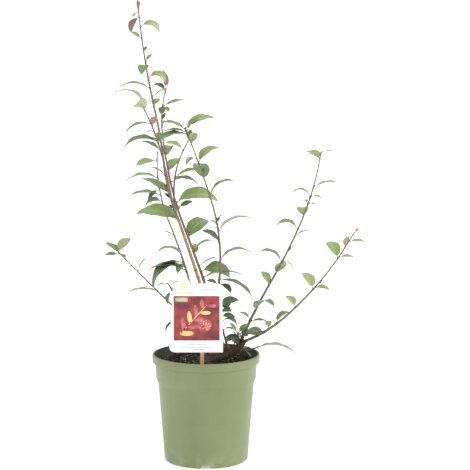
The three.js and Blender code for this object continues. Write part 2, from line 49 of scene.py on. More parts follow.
class Wire:
    def __init__(self, paint, socket):
        self.paint = paint
        self.socket = socket

    def join(self, operation, first, second):
        return self.paint.node("ShaderNodeMath", {"operation": operation}, {0: first, 1: second})

    def __add__(self, other):
        return self.join("ADD", self, other)

    def __sub__(self, other):
        return self.join("SUBTRACT", self, other)

    def __mul__(self, other):
        return self.join("MULTIPLY", self, other)

    def __radd__(self, other):
        return self.join("ADD", other, self)

    def __rsub__(self, other):
        return self.join("SUBTRACT", other, self)

    def __rmul__(self, other):
        return self.join("MULTIPLY", other, self)

    def fraction(self):
        return self.join("FRACT", self, 0)

    def size(self):
        return self.join("ABSOLUTE", self, 0)


# One material and its nodes
class Paint:
    def __init__(self, name, colour, roughness, **constants):
        self.material = bpy.data.materials.new(name)
        self.material.use_nodes = True
        self.material.diffuse_color = (*colour, 1)
        self.tree = self.material.node_tree
        self.surface = self.tree.nodes["Principled BSDF"]
        self.surface.inputs["Base Color"].default_value = (*colour, 1)
        self.surface.inputs["Roughness"].default_value = roughness
        for socket, value in constants.items():
            self.surface.inputs[socket.replace("_", " ")].default_value = value

    # kind, settings first, then values or wires for the sockets, and the output that is wanted
    def node(self, kind, settings, sockets, output=0):
        made = self.tree.nodes.new(kind)
        for name, value in settings.items():
            if name == "stops":
                self.setStops(made.color_ramp, value)
            else:
                setattr(made, name, value)
        for name, value in sockets.items():
            if isinstance(value, Wire):
                self.tree.links.new(value.socket, made.inputs[name])
            else:
                made.inputs[name].default_value = value
        return Wire(self, made.outputs[output])

    def setStops(self, ramp, stops):
        while len(ramp.elements) < len(stops):
            ramp.elements.new(0.5)
        for element, (place, colour) in zip(ramp.elements, stops):
            element.position = place
            element.color = (*colour, 1)

    def feed(self, socket, wire):
        self.tree.links.new(wire.socket, self.surface.inputs[socket])

    def place(self):
        return self.node("ShaderNodeTexCoord", {}, {}, "Object")

    def attribute(self, name, output="Vector"):
        return self.node("ShaderNodeAttribute", {"attribute_name": name}, {}, output)

    def noise(self, place, scale, detail=4, roughness=0.55):
        sockets = {"Vector": place, "Scale": scale, "Detail": detail, "Roughness": roughness}
        return self.node("ShaderNodeTexNoise", {}, sockets)

    def scaled(self, place, scale):
        return self.node("ShaderNodeMapping", {}, {"Vector": place, "Scale": scale})

    # A ramp from one value to another, clamped at both ends
    def band(self, wire, low, high, toLow=0, toHigh=1):
        sockets = {"Value": wire, "From Min": low, "From Max": high, "To Min": toLow, "To Max": toHigh}
        return self.node("ShaderNodeMapRange", {"clamp": True}, sockets)

    def mix(self, factor, first, second):
        first = first if isinstance(first, Wire) else (*first, 1)
        second = second if isinstance(second, Wire) else (*second, 1)
        settings = {"data_type": "RGBA", "clamp_factor": True}
        return self.node("ShaderNodeMix", settings, {0: factor, 6: first, 7: second}, 2)

    def ramp(self, wire, stops):
        return self.node("ShaderNodeValToRGB", {"stops": stops}, {"Fac": wire})

    def bump(self, height, distance):
        sockets = {"Height": height, "Distance": distance, "Strength": 1}
        self.feed("Normal", self.node("ShaderNodeBump", {}, sockets))


# Modelling helpers

def deselectAll():
    if bpy.context.object and bpy.context.object.mode != "OBJECT":
        bpy.ops.object.mode_set(mode="OBJECT")
    bpy.ops.object.select_all(action="DESELECT")


def makeActive(piece):
    deselectAll()
    piece.select_set(True)
    bpy.context.view_layer.objects.active = piece


def applyModifier(piece, kind, name, **settings):
    makeActive(piece)
    modifier = piece.modifiers.new(name, kind)
    for setting, value in settings.items():
        setattr(modifier, setting, value)
    bpy.ops.object.modifier_apply(modifier=modifier.name)


def joinPieces(pieces):
    deselectAll()
    for piece in pieces:
        piece.select_set(True)
    bpy.context.view_layer.objects.active = pieces[0]
    bpy.ops.object.join()
    return pieces[0]


# Edit mode, with all of one piece selected
def editAll(piece):
    makeActive(piece)
    bpy.ops.object.mode_set(mode="EDIT")
    bpy.ops.mesh.select_all(action="SELECT")


def outwardNormals(piece):
    editAll(piece)
    bpy.ops.mesh.normals_make_consistent(inside=False)
    bpy.ops.object.mode_set(mode="OBJECT")


def readPoints(piece):
    points = np.empty(len(piece.data.vertices) * 3)
    piece.data.vertices.foreach_get("co", points)
    return points.reshape(-1, 3)


def writePoints(piece, points):
    piece.data.vertices.foreach_set("co", np.asarray(points, float).ravel())
    piece.data.update()


# The primitive just added, taken as points and faces for many small copies
def takeShape():
    piece = bpy.context.object
    points = readPoints(piece)
    faces = [list(face.vertices) for face in piece.data.polygons]
    bpy.data.objects.remove(piece)
    return points, faces


# A copy's faces, once the points of earlier copies come before its own
def shifted(faces, start):
    return [[start + corner for corner in face] for face in faces]


# Many small forms as one mesh, from arrays of points, faces and the colour of each face
def meshFromArrays(name, points, faces, tints, paints):
    mesh = bpy.data.meshes.new(name)
    mesh.from_pydata(np.asarray(points).tolist(), [], faces)
    for paint in paints:
        mesh.materials.append(paint.material)
    mesh.polygons.foreach_set("material_index", tints)
    piece = bpy.data.objects.new(name, mesh)
    bpy.context.scene.collection.objects.link(piece)
    return piece


# The place goes into the mesh, then the piece is tied to the frame
def finishPiece(piece, name, nodes=(), smoothAngle=35):
    makeActive(piece)
    bpy.ops.object.transform_apply(location=True, rotation=True, scale=True)
    bpy.ops.object.shade_smooth_by_angle(angle=smoothAngle * degree)
    piece.name = name
    piece.data.name = name
    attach(piece, "root")
    if nodes:
        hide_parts(*nodes)
    print(name, len(piece.data.polygons), "faces")


def arc(middleRadius, middleHeight, radius, start, end, steps=5):
    angles = [(start + (end - start) * i / steps) * degree for i in range(steps + 1)]
    return [(middleRadius + radius * math.cos(a), middleHeight + radius * math.sin(a)) for a in angles]


# A closed turned form: a disc extruded from ring to ring along a profile of radius and height
def turnProfile(profile, sides):
    deselectAll()
    radius, height = profile[0]
    bpy.ops.mesh.primitive_circle_add(
        vertices=sides, radius=radius * mm, fill_type="NGON", location=(0, 0, height * mm))
    bpy.ops.object.transform_apply(location=True)
    editAll(bpy.context.object)
    for nextRadius, nextHeight in profile[1:]:
        rise = (0, 0, (nextHeight - height) * mm)
        bpy.ops.mesh.extrude_region_move(TRANSFORM_OT_translate={"value": rise})
        ratio = nextRadius / radius
        bpy.ops.transform.resize(value=(ratio, ratio, 1), center_override=(0, 0, 0))
        radius = nextRadius
        height = nextHeight
    return bpy.context.object


# The pot

pot = {
    "height": 172, "lipRadius": 85.5, "mouthRadius": 82, "lipHeight": 13.5,
    "bandTop": 81, "bandFoot": 79.5, "bandHeight": 25, "shoulder": 76.5, "shoulderDrop": 7,
    "footRadius": 66.5, "footRound": 4.2, "lipRound": 1.9, "mouthRound": 1, "wall": 2.2,
    "gullyOuter": 61.5, "gullyInner": 42, "gullyHeight": 6, "sides": 128, "shadeDepth": 20,
    "notches": 4, "notchWidth": 16, "notchHeight": 5.5, "notchDepth": 14, "notchPast": 4, "notchRound": 3.5,
    "green": (0.161, 0.186, 0.078), "pale": (0.195, 0.221, 0.1), "dust": (0.45, 0.47, 0.34),
    # The last two colours are painted shade for the inner wall above the compost, with some peat smearing.
    "wallShadeAndPeat": (0.038, 0.042, 0.027), "paleShadeAndPeat": (0.1, 0.105, 0.07),
}
lipFoot = pot["height"] - pot["lipHeight"]
bandFoot = lipFoot - pot["bandHeight"]
shoulderFoot = bandFoot - pot["shoulderDrop"]
floorTop = pot["gullyHeight"] + pot["wall"]


def potPaint():
    paint = Paint("sage_moulded_plastic", pot["green"], 0.42, Specular_IOR_Level=0.5)
    place = paint.place()
    height = paint.node("ShaderNodeSeparateXYZ", {}, {"Vector": place}, "Z")
    clouds = paint.noise(place, 14, 3)
    flow = paint.noise(paint.scaled(place, (30, 30, 4)), 2.2, 5, 0.6)
    rings = paint.noise(paint.scaled(place, (0.5, 0.5, 130)), 1.5, 2)
    dusty = paint.band(height, 0.03, 0.0, 0, 0.35) * paint.band(paint.noise(place, 60, 6), 0.45, 0.7)
    shade = paint.band(clouds * 0.5 + flow * 0.3 + rings * 0.2, 0.36, 0.64)
    plain = paint.mix(shade, pot["green"], pot["pale"])
    paint.feed("Base Color", paint.mix(dusty, plain, pot["dust"]))
    paint.feed("Roughness", paint.band(flow * 0.6 + rings * 0.4, 0.3, 0.7, 0.36, 0.5))
    paint.bump(paint.noise(place, 900, 3) * 0.4 + rings * 0.6, 0.00012)
    return paint


# The inside wall above the compost is painted dark: painted shade inside the pot's mouth, with some peat
# smearing.
def shadeAndPeatPaint():
    paint = Paint("painted_shade_and_peat_wall", pot["wallShadeAndPeat"], 0.7)
    place = paint.place()
    shadeAndSmears = paint.noise(paint.scaled(place, (60, 60, 18)), 1.5, 5, 0.6)
    paint.feed("Base Color", paint.mix(paint.band(shadeAndSmears, 0.45, 0.7), pot["wallShadeAndPeat"], pot["paleShadeAndPeat"]))
    paint.bump(shadeAndSmears, 0.0002)
    return paint


# Faces of the wall that look at the pot's axis above the compost take the second paint, its painted shade
# with some peat smearing
def markShadedWall(piece):
    for face in piece.data.polygons:
        inward = -(face.center.x * face.normal.x + face.center.y * face.normal.y) / face.center.xy.length
        if inward > 0.3 and face.center.z > (soil["level"] - pot["shadeDepth"]) * mm:
            face.material_index = 1


# Drain notches through the foot ring. Each cutter goes past it on all sides but the top.
def cutNotches(piece):
    height = pot["notchHeight"] + pot["notchPast"]
    reach = pot["gullyOuter"] - pot["notchPast"] + pot["notchDepth"] / 2
    deselectAll()
    for i in range(pot["notches"]):
        turn = i * 2 * math.pi / pot["notches"]
        place = Vector((math.sin(turn) * reach, -math.cos(turn) * reach, pot["notchHeight"] - height / 2))
        bpy.ops.mesh.primitive_cube_add(size=1, location=place * mm, rotation=(0, 0, turn))
        cutter = bpy.context.object
        cutter.scale = Vector((pot["notchWidth"], pot["notchDepth"], height)) * mm
        bpy.ops.object.transform_apply(scale=True)
        editAll(cutter)
        bpy.ops.mesh.bevel(offset=pot["notchRound"] * mm, segments=5, affect="EDGES")
        bpy.ops.object.mode_set(mode="OBJECT")
        applyModifier(piece, "BOOLEAN", "notch", object=cutter, operation="DIFFERENCE", solver="EXACT")
        bpy.data.objects.remove(cutter)


def makePot():
    lip = pot["lipRadius"]
    top = pot["height"]
    mouth = pot["mouthRadius"]
    foot = pot["footRadius"]
    inner = pot["gullyInner"]
    wall = pot["wall"]
    footRound = pot["footRound"]
    lipRound = pot["lipRound"]
    mouthRound = pot["mouthRound"]
    profile = [
        (inner - 2, 0), (inner, pot["gullyHeight"]),
        (pot["gullyOuter"], pot["gullyHeight"]), (pot["gullyOuter"] + 0.5, 0),
        *arc(foot - footRound, footRound, footRound, -90, -3),
        (pot["shoulder"] - 0.2, shoulderFoot - 1), (pot["shoulder"] + 0.1, shoulderFoot),
        (pot["bandFoot"] - 0.3, bandFoot - 0.6), (pot["bandFoot"], bandFoot),
        (pot["bandTop"], lipFoot), (lip - 0.9, lipFoot + 0.4), (lip - 0.2, lipFoot + 1.2),
        (lip, lipFoot + 2.6),
        *arc(lip - lipRound, top - lipRound, lipRound, 0, 90),
        *arc(mouth + mouthRound, top - mouthRound, mouthRound, 90, 180, 4),
        (pot["bandTop"] - wall, lipFoot - 1), (pot["bandFoot"] - wall, bandFoot),
        (pot["shoulder"] - wall, shoulderFoot), (foot - wall, floorTop), (inner - 1, floorTop),
        (inner - 2 - wall, wall),
    ]
    piece = turnProfile(profile, pot["sides"])
    outwardNormals(piece)
    applyModifier(piece, "BEVEL", "softEdges", width=0.35 * mm, segments=2, limit_method="ANGLE",
                  angle_limit=30 * degree)
    cutNotches(piece)
    piece.data.materials.append(potPaint().material)
    # The second paint is painted shade for the inner wall above the compost, with some peat smearing.
    piece.data.materials.append(shadeAndPeatPaint().material)
    markShadedWall(piece)
    finishPiece(piece, "pot_shell", ["pot"], 30)


# The compost

soil = {
    "level": 157, "roughness": 1.6, "seat": 34, "seatX": 4, "seatY": 11, "sides": 150, "ringStep": 1.35,
    "clods": 1.5, "bits": 3000, "smallest": 0.45, "spread": 1.5, "mix": (36, 33, 14, 9, 8), "fibres": 40,
    "fibre": (3, 8), "bitsInset": 1.5, "seed": 5,
    "dark": (0.011, 0.0085, 0.006), "brown": (0.045, 0.027, 0.019), "tan": (0.13, 0.08, 0.05),
    "straw": (0.5, 0.43, 0.27), "moss": (0.17, 0.2, 0.07),
}


def compostPaint(name, colour, other):
    paint = Paint(name, colour, 0.9, Specular_IOR_Level=0.25)
    place = paint.place()
    grain = paint.noise(place, 420, 6, 0.7)
    paint.feed("Base Color", paint.mix(paint.band(grain, 0.4, 0.65), colour, other))
    paint.bump(grain, 0.0008)
    return paint


# The ground is level under the trunk and rough round it
def groundHeight(x, y):
    fromSeat = np.hypot(x - soil["seatX"], y - soil["seatY"])
    fade = np.clip(fromSeat / soil["seat"] - 1, 0, 1)
    bump = np.sin(x * 0.21 + 1) * np.cos(y * 0.17) + 0.6 * np.sin(x * 0.43 + y * 0.37)
    return soil["level"] + fade * soil["roughness"] * np.minimum(0.8, bump)


def clodHeight(x, y):
    return soil["clods"] * noise.fractal(Vector((x * 0.16, y * 0.16, 2)), 0.7, 2.1, 4)


def makeCompost():
    wall = pot["wall"] + gap
    topRadius = pot["bandTop"] - wall
    profile = [
        (pot["gullyInner"] - 3, floorTop + gap), (pot["footRadius"] - wall, floorTop + gap),
        (pot["shoulder"] - wall, shoulderFoot), (pot["bandFoot"] - wall, bandFoot),
        (topRadius, soil["level"] - 2), (topRadius, soil["level"]),
    ]
    piece = turnProfile(profile, soil["sides"])
    for _ in range(int(topRadius / soil["ringStep"]) - 1):
        bpy.ops.mesh.inset(thickness=soil["ringStep"] * mm, depth=0)
    outwardNormals(piece)
    points = readPoints(piece) / mm
    for point in points:
        if point[2] > soil["level"] - 0.5:
            x, y = point[:2]
            rim = min(1, (topRadius - math.hypot(x, y)) / 3 + 0.25)
            point[2] = groundHeight(x, y) + rim * clodHeight(x, y)
    writePoints(piece, points * mm)
    piece.data.materials.append(compostPaint("dark_peat", soil["dark"], soil["brown"]).material)
    finishPiece(piece, "compost_surface", ["soil"], 60)


# Crumbs, bark chips and fibres lying on the compost, all of one small shape
def makeCompostBits():
    dealer = random.Random(soil["seed"])
    deselectAll()
    bpy.ops.mesh.primitive_ico_sphere_add(subdivisions=1, radius=1)
    crumbPoints, crumbFaces = takeShape()
    points = []
    faces = []
    tints = []

    # shape is half the crumb's size each way
    def addCrumb(shape, tilt, tint):
        widest = pot["bandTop"] - pot["wall"] - soil["bitsInset"] - shape.x
        distance = widest * math.sqrt(dealer.random())
        angle = dealer.uniform(0, 2 * math.pi)
        turn = dealer.uniform(0, 2 * math.pi)
        x = distance * math.cos(angle)
        y = distance * math.sin(angle)
        height = float(groundHeight(x, y)) + clodHeight(x, y) + shape.z * 0.5
        start = len(points)
        for corner in crumbPoints:
            jitter = 1 + 0.25 * noise.noise(Vector(corner) * 2 + Vector((start, 0, 0)))
            local = Vector(corner) * jitter * shape
            local.z += local.x * tilt
            points.append((
                x + local.x * math.cos(turn) - local.y * math.sin(turn),
                y + local.x * math.sin(turn) + local.y * math.cos(turn),
                height + local.z,
            ))
        faces.extend(shifted(crumbFaces, start))
        tints.extend([tint] * len(crumbFaces))

    for _ in range(soil["bits"]):
        size = soil["smallest"] + soil["spread"] * dealer.random() ** 2.6
        shape = Vector((dealer.uniform(0.7, 1.9), dealer.uniform(0.6, 1.1), dealer.uniform(0.3, 0.8))) * size
        addCrumb(shape, dealer.uniform(-0.6, 0.6), dealer.choices([0, 1, 2, 3, 4], soil["mix"])[0])
    for _ in range(soil["fibres"]):
        addCrumb(Vector((dealer.uniform(*soil["fibre"]), 0.4, 0.35)), dealer.uniform(-0.3, 0.3), 3)
    paints = [
        compostPaint("crumb_dark", soil["dark"], soil["brown"]),
        compostPaint("crumb_brown", soil["brown"], soil["dark"]),
        compostPaint("chip_tan", soil["tan"], soil["brown"]),
        compostPaint("fibre_straw", soil["straw"], soil["tan"]),
        compostPaint("fleck_moss", soil["moss"], soil["brown"]),
    ]
    piece = meshFromArrays("compost_bits", np.array(points) * mm, faces, tints, paints)
    finishPiece(piece, "compost_bits", (), 40)


# The label card and its stick

card = {
    "bottom": 185.5, "top": 294.8, "front": -58, "thickness": 0.9,
    "bottomLeft": -57, "bottomRight": 27.3, "topLeft": -50.2, "topRight": 25.8,
    "topCorner": 9, "bottomCorner": 11,
    "tabLeft": -42, "tabWidth": 18, "tabHeight": 9, "tabDrop": 10, "tabMargin": 1.2,
    "white": (0.86, 0.86, 0.845), "fibre": (0.7, 0.7, 0.68),
    "cream": (0.78, 0.69, 0.45), "paleCream": (0.82, 0.77, 0.6),
    "crimson": (0.33, 0.036, 0.032), "wine": (0.13, 0.02, 0.022), "rose": (0.55, 0.14, 0.18),
    "gold": (0.72, 0.46, 0.1), "paleGold": (0.8, 0.62, 0.3),
    "sage": (0.3, 0.42, 0.2), "paleSage": (0.45, 0.5, 0.36),
    "grey": (0.5, 0.52, 0.58), "paleGrey": (0.6, 0.62, 0.66),
}


# One ink, clouded with a second one where that is given
def cardPaint(name, colour, other=None, scale=1):
    paint = Paint(name, colour, 0.34, Specular_IOR_Level=0.5)
    place = paint.place()
    if other:
        clouds = paint.band(paint.noise(place, scale, 2, 0.5), 0.42, 0.62)
        paint.feed("Base Color", paint.mix(clouds, colour, other))
    else:
        fibres = paint.noise(place, 1200, 4, 0.6)
        paint.feed("Base Color", paint.mix(fibres * 0.08, colour, card["fibre"]))
    paint.feed("Roughness", paint.band(paint.noise(place, 200, 3), 0.3, 0.7, 0.28, 0.4))
    return paint


# An outline with its corners cut round, each corner given as a place and a radius
def rounded(corners, steps=8):
    outline = []
    for i, (x, y, radius) in enumerate(corners):
        here = np.array([x, y], float)
        before = np.array(corners[i - 1][:2]) - here
        after = np.array(corners[(i + 1) % len(corners)][:2]) - here
        start = here + before / np.linalg.norm(before) * radius
        end = here + after / np.linalg.norm(after) * radius
        shares = [j / steps for j in range(steps + 1)] if radius else [0]
        outline += [tuple(start * (1 - t) ** 2 + here * 2 * t * (1 - t) + end * t * t) for t in shares]
    return outline


# A flat face inside an anticlockwise outline, lying with its printed side up
def flatShape(outline, level):
    deselectAll()
    bpy.ops.mesh.primitive_circle_add(vertices=len(outline), radius=1, fill_type="NGON")
    piece = bpy.context.object
    for vertex, (x, y) in zip(piece.data.vertices, outline):
        vertex.co = Vector((x, y, level)) * mm
    return piece


def flatSheet(left, right, bottom, top, level, radius=0):
    corners = [(left, bottom), (right, bottom), (right, top), (left, top)]
    return flatShape(rounded([(*corner, radius) for corner in corners]), level)


# An oval of ink, turned about its own middle
def flatOval(x, y, halfWide, halfLong, turn, level, vertices=20):
    deselectAll()
    bpy.ops.mesh.primitive_circle_add(vertices=vertices, radius=1, fill_type="NGON")
    piece = bpy.context.object
    piece.scale = (halfWide * mm, halfLong * mm, 1)
    piece.rotation_euler = (0, 0, turn * degree)
    piece.location = (x * mm, y * mm, level * mm)
    return piece


def inked(piece, paint):
    piece.data.materials.clear()
    piece.data.materials.append(paint.material)
    makeActive(piece)
    bpy.ops.object.transform_apply(location=True, rotation=True, scale=True)
    return piece


ink = 0.05  # how far one layer of print stands off the one below
picture = {
    "left": -49.5, "right": 22, "bottom": 204.5, "top": 275, "radius": 2,
    "tagInset": 2.5, "tagEnd": 22, "tagFoot": 9,
}
sprig = {
    "foot": (-41, 213), "tip": (3, 262), "stemHalf": 0.7,
    "leaves": 9, "leafLong": 9.5, "leafWide": 3.6, "leafTurn": 48,
    "flower": (-1, 229), "flowerRadius": 10.5,
    "dots": 15, "dotRadius": 0.9, "dotStep": 2.2, "dotTurn": 137.5,
}
# Plain bars where a label has words: left, right, low, high and ink
bars = [
    (-48, -18, 279, 280.6, "sage"), (-8, 19, 284.5, 286.5, "grey"), (-8, 12, 280, 281.2, "grey"),
    (-30, 2, 197.5, 198.9, "grey"), (-42, 10, 193.2, 194.2, "grey"), (-20, -2, 189.6, 190.5, "grey"),
]


def cardSheet():
    low = card["bottom"]
    high = card["top"]
    halfTab = card["tabWidth"] / 2
    tab = [(card["tabLeft"] + halfTab + halfTab * math.cos(turn * degree),
            high + card["tabHeight"] * math.sin(turn * degree)) for turn in range(0, 181, 9)]
    outline = rounded([
        (card["bottomLeft"], low, card["bottomCorner"]), (card["bottomRight"], low, 1),
        (card["topRight"], high, card["topCorner"]), *[(x, y, 0) for x, y in tab],
        (card["topLeft"], high, card["topCorner"]),
    ])
    sheet = flatShape(outline, 0)
    applyModifier(sheet, "SOLIDIFY", "board", thickness=card["thickness"] * mm, offset=-1)
    applyModifier(sheet, "BEVEL", "cutEdge", width=0.15 * mm, segments=2, limit_method="ANGLE",
                  angle_limit=40 * degree)
    return sheet


# A generic print: a red panel with a leafy sprig, a round flower and a tag, a cream tab, and bars
def makeCard():
    inks = {
        "white": cardPaint("card_white", card["white"]),
        "cream": cardPaint("card_cream", card["cream"], card["paleCream"], 260),
        "crimson": cardPaint("print_crimson", card["crimson"], card["wine"], 55),
        "rose": cardPaint("print_rose", card["rose"], card["crimson"], 120),
        "gold": cardPaint("print_gold", card["gold"], card["paleGold"], 300),
        "sage": cardPaint("print_sage", card["sage"], card["paleSage"], 150),
        "grey": cardPaint("print_grey", card["grey"], card["paleGrey"], 400),
    }
    prints = []

    def add(shape, tint):
        prints.append(inked(shape, inks[tint]))

    add(cardSheet(), "white")
    tabMiddle = card["tabLeft"] + card["tabWidth"] / 2
    tabRadius = card["tabHeight"] - card["tabMargin"]
    add(flatOval(tabMiddle, card["top"], tabRadius, tabRadius, 0, ink, 40), "cream")
    add(flatSheet(tabMiddle - tabRadius, tabMiddle + tabRadius, card["top"] - card["tabDrop"], card["top"],
                  0.9 * ink, 4), "cream")
    left = picture["left"]
    top = picture["top"]
    add(flatSheet(left, picture["right"], picture["bottom"], top, ink, picture["radius"]), "crimson")
    add(flatSheet(left + picture["tagInset"], left + picture["tagEnd"], top - picture["tagFoot"],
                  top - picture["tagInset"], 2 * ink, picture["radius"]), "sage")
    foot = np.array(sprig["foot"], float)
    tip = np.array(sprig["tip"], float)
    lean = math.atan2(tip[1] - foot[1], tip[0] - foot[0]) / degree
    halfLong = np.linalg.norm(tip - foot) / 2
    add(flatOval(*(foot + tip) / 2, sprig["stemHalf"], halfLong, lean - 90, 2 * ink), "gold")
    for i in range(sprig["leaves"]):
        share = (i + 0.5) / sprig["leaves"]
        side = 1 if i % 2 else -1
        turn = lean - 90 + side * sprig["leafTurn"]
        out = np.array([math.cos((turn + 90) * degree), math.sin((turn + 90) * degree)])
        place = foot + (tip - foot) * share + out * sprig["leafLong"]
        size = 1.15 - 0.4 * share
        add(flatOval(*place, sprig["leafWide"] * size, sprig["leafLong"] * size, turn, 2 * ink),
            "rose" if i % 3 else "gold")
    x, y = sprig["flower"]
    for i in range(sprig["dots"]):
        turn = i * sprig["dotTurn"] * degree
        reach = sprig["dotStep"] * math.sqrt(i + 0.6)
        add(flatOval(x + reach * math.cos(turn), y + reach * math.sin(turn), sprig["dotRadius"],
                     sprig["dotRadius"], 0, 3 * ink, 12), "gold")
    add(flatOval(x, y, sprig["flowerRadius"], sprig["flowerRadius"], 0, 2.4 * ink, 36), "rose")
    for left, right, low, high, tint in bars:
        add(flatSheet(left, right, low, high, ink), tint)
    for piece in prints[1:]:
        applyModifier(piece, "SOLIDIFY", "film", thickness=0.8 * ink * mm, offset=-1)
    piece = joinPieces(prints)
    piece.rotation_euler = (math.pi / 2, 0, 0)
    piece.location = (0, card["front"] * mm, 0)
    finishPiece(piece, "label_card_print", ["label_card"], 12)


stick = {
    "x": -5.4, "width": 6, "thickness": 1.8, "foot": 110, "top": 282,
    "point": 12, "pointEnd": (0.12, 0.9), "topRound": 0.48, "sanded": 0.3,
    "pale": (0.62, 0.42, 0.22), "grain": (0.42, 0.25, 0.12),
}


def stickPaint():
    paint = Paint("pale_wood_stick", stick["pale"], 0.65)
    grain = paint.noise(paint.scaled(paint.place(), (900, 900, 40)), 1, 5, 0.6)
    paint.feed("Base Color", paint.mix(paint.band(grain, 0.4, 0.7), stick["pale"], stick["grain"]))
    paint.feed("Roughness", paint.band(grain, 0.3, 0.7, 0.55, 0.75))
    paint.bump(grain, 0.0001)
    return paint


def makeStick():
    deselectAll()
    back = card["front"] + card["thickness"] + gap + stick["thickness"] / 2
    middle = (stick["foot"] + stick["top"]) / 2
    bpy.ops.mesh.primitive_cube_add(size=1, location=(stick["x"] * mm, back * mm, middle * mm))
    piece = bpy.context.object
    piece.scale = (stick["width"] * mm, stick["thickness"] * mm, (stick["top"] - stick["foot"]) * mm)
    bpy.ops.object.transform_apply(location=True, scale=True)
    for vertex in piece.data.vertices:
        vertex.select = False
    for face in piece.data.polygons:
        face.select = face.normal.z < -0.5
    for edge in piece.data.edges:
        edge.select = False
    bpy.ops.object.mode_set(mode="EDIT")
    bpy.ops.mesh.select_mode(type="FACE")
    centre = (stick["x"] * mm, back * mm, stick["foot"] * mm)
    bpy.ops.transform.translate(value=(0, 0, stick["point"] * mm))
    bpy.ops.mesh.extrude_region_move(TRANSFORM_OT_translate={"value": (0, 0, -stick["point"] * mm)})
    bpy.ops.transform.resize(value=(*stick["pointEnd"], 1), center_override=centre)
    bpy.ops.object.mode_set(mode="OBJECT")
    for edge in piece.data.edges:
        ends = [piece.data.vertices[corner].co for corner in edge.vertices]
        edge.select = all(end.z > (stick["top"] - 1) * mm for end in ends) and abs(
            ends[0].y - ends[1].y) > 1 * mm
    bpy.ops.object.mode_set(mode="EDIT")
    bpy.ops.mesh.select_mode(type="EDGE")
    bpy.ops.mesh.bevel(offset=stick["width"] * stick["topRound"] * mm, segments=6, affect="EDGES")
    bpy.ops.object.mode_set(mode="OBJECT")
    applyModifier(piece, "BEVEL", "sanded", width=stick["sanded"] * mm, segments=2, limit_method="ANGLE",
                  angle_limit=40 * degree)
    piece.data.materials.append(stickPaint().material)
    finishPiece(piece, "label_stick_wood", ["label_stick"], 40)


# How the shrub grows. Every limb is a tapering tube that walks from its foot, turning by the leans
# given along it. Every leaf is a folded blade on a circular arc, rooted on the axis of its stem.
# A seat is how far a limb runs straight back from its foot, into the trunk.

trunk = {
    "foot": (1, 9, soil["level"] + gap), "length": 69, "bare": 1, "mass": "",
    "lean": (50, 83, 67, 65, 54, 18), "back": (2, 5), "radius": (6.6, 4.7), "flare": 2,
}
# A blade's outline, and the spread of the draws that vary the leaves
leafShape = {"widthRatio": 0.47, "petiole": 5.5, "petioleHalf": 0.85, "swell": 0.8, "fill": (0.62, 0.42)}
vary = {"rise": 4, "arch": 4, "size": 0.03, "face": 4, "fold": (12, 18), "hour": 0.1}
# How far a leaf keeps from other things, where its blade is tried, and the turns it may make
room = {
    "leaf": 4.4, "stem": 2.6, "close": 1, "rim": 5, "card": 6, "ownStem": 12, "far": 150, "spacing": 5,
    "shares": (0.26, 0.35, 0.44, 0.53, 0.62, 0.71, 0.8, 0.9, 1), "across": (-1, -0.5, 0, 0.5, 1),
    "hourTries": (0, 0.4, -0.4, 0.8, -0.8, 1.2, -1.2, 1.8, -1.8, 2.4, -2.4),
}
limbSteps = 40


# A flush is one run of leaves, evenly spaced from one share of the stem's length to another.
# Hours are a clock face seen from above: 12 away from the front, 3 to the right.
# rise is the leaf's angle over square to its stem, arch its bend to the tip, and face turns its
# upper side to one edge.
def flush(start, end, hours, sizes, tint, rise=46, arch=72, face=0):
    return {"start": start, "end": end, "hours": hours, "sizes": sizes, "tint": tint, "rise": rise,
            "arch": arch, "face": face}


# A leaf that stands out by itself
def lone(at, hour, size, tint, rise=46, arch=72, face=0):
    return flush(at, at, [hour], [size], tint, rise, arch, face)


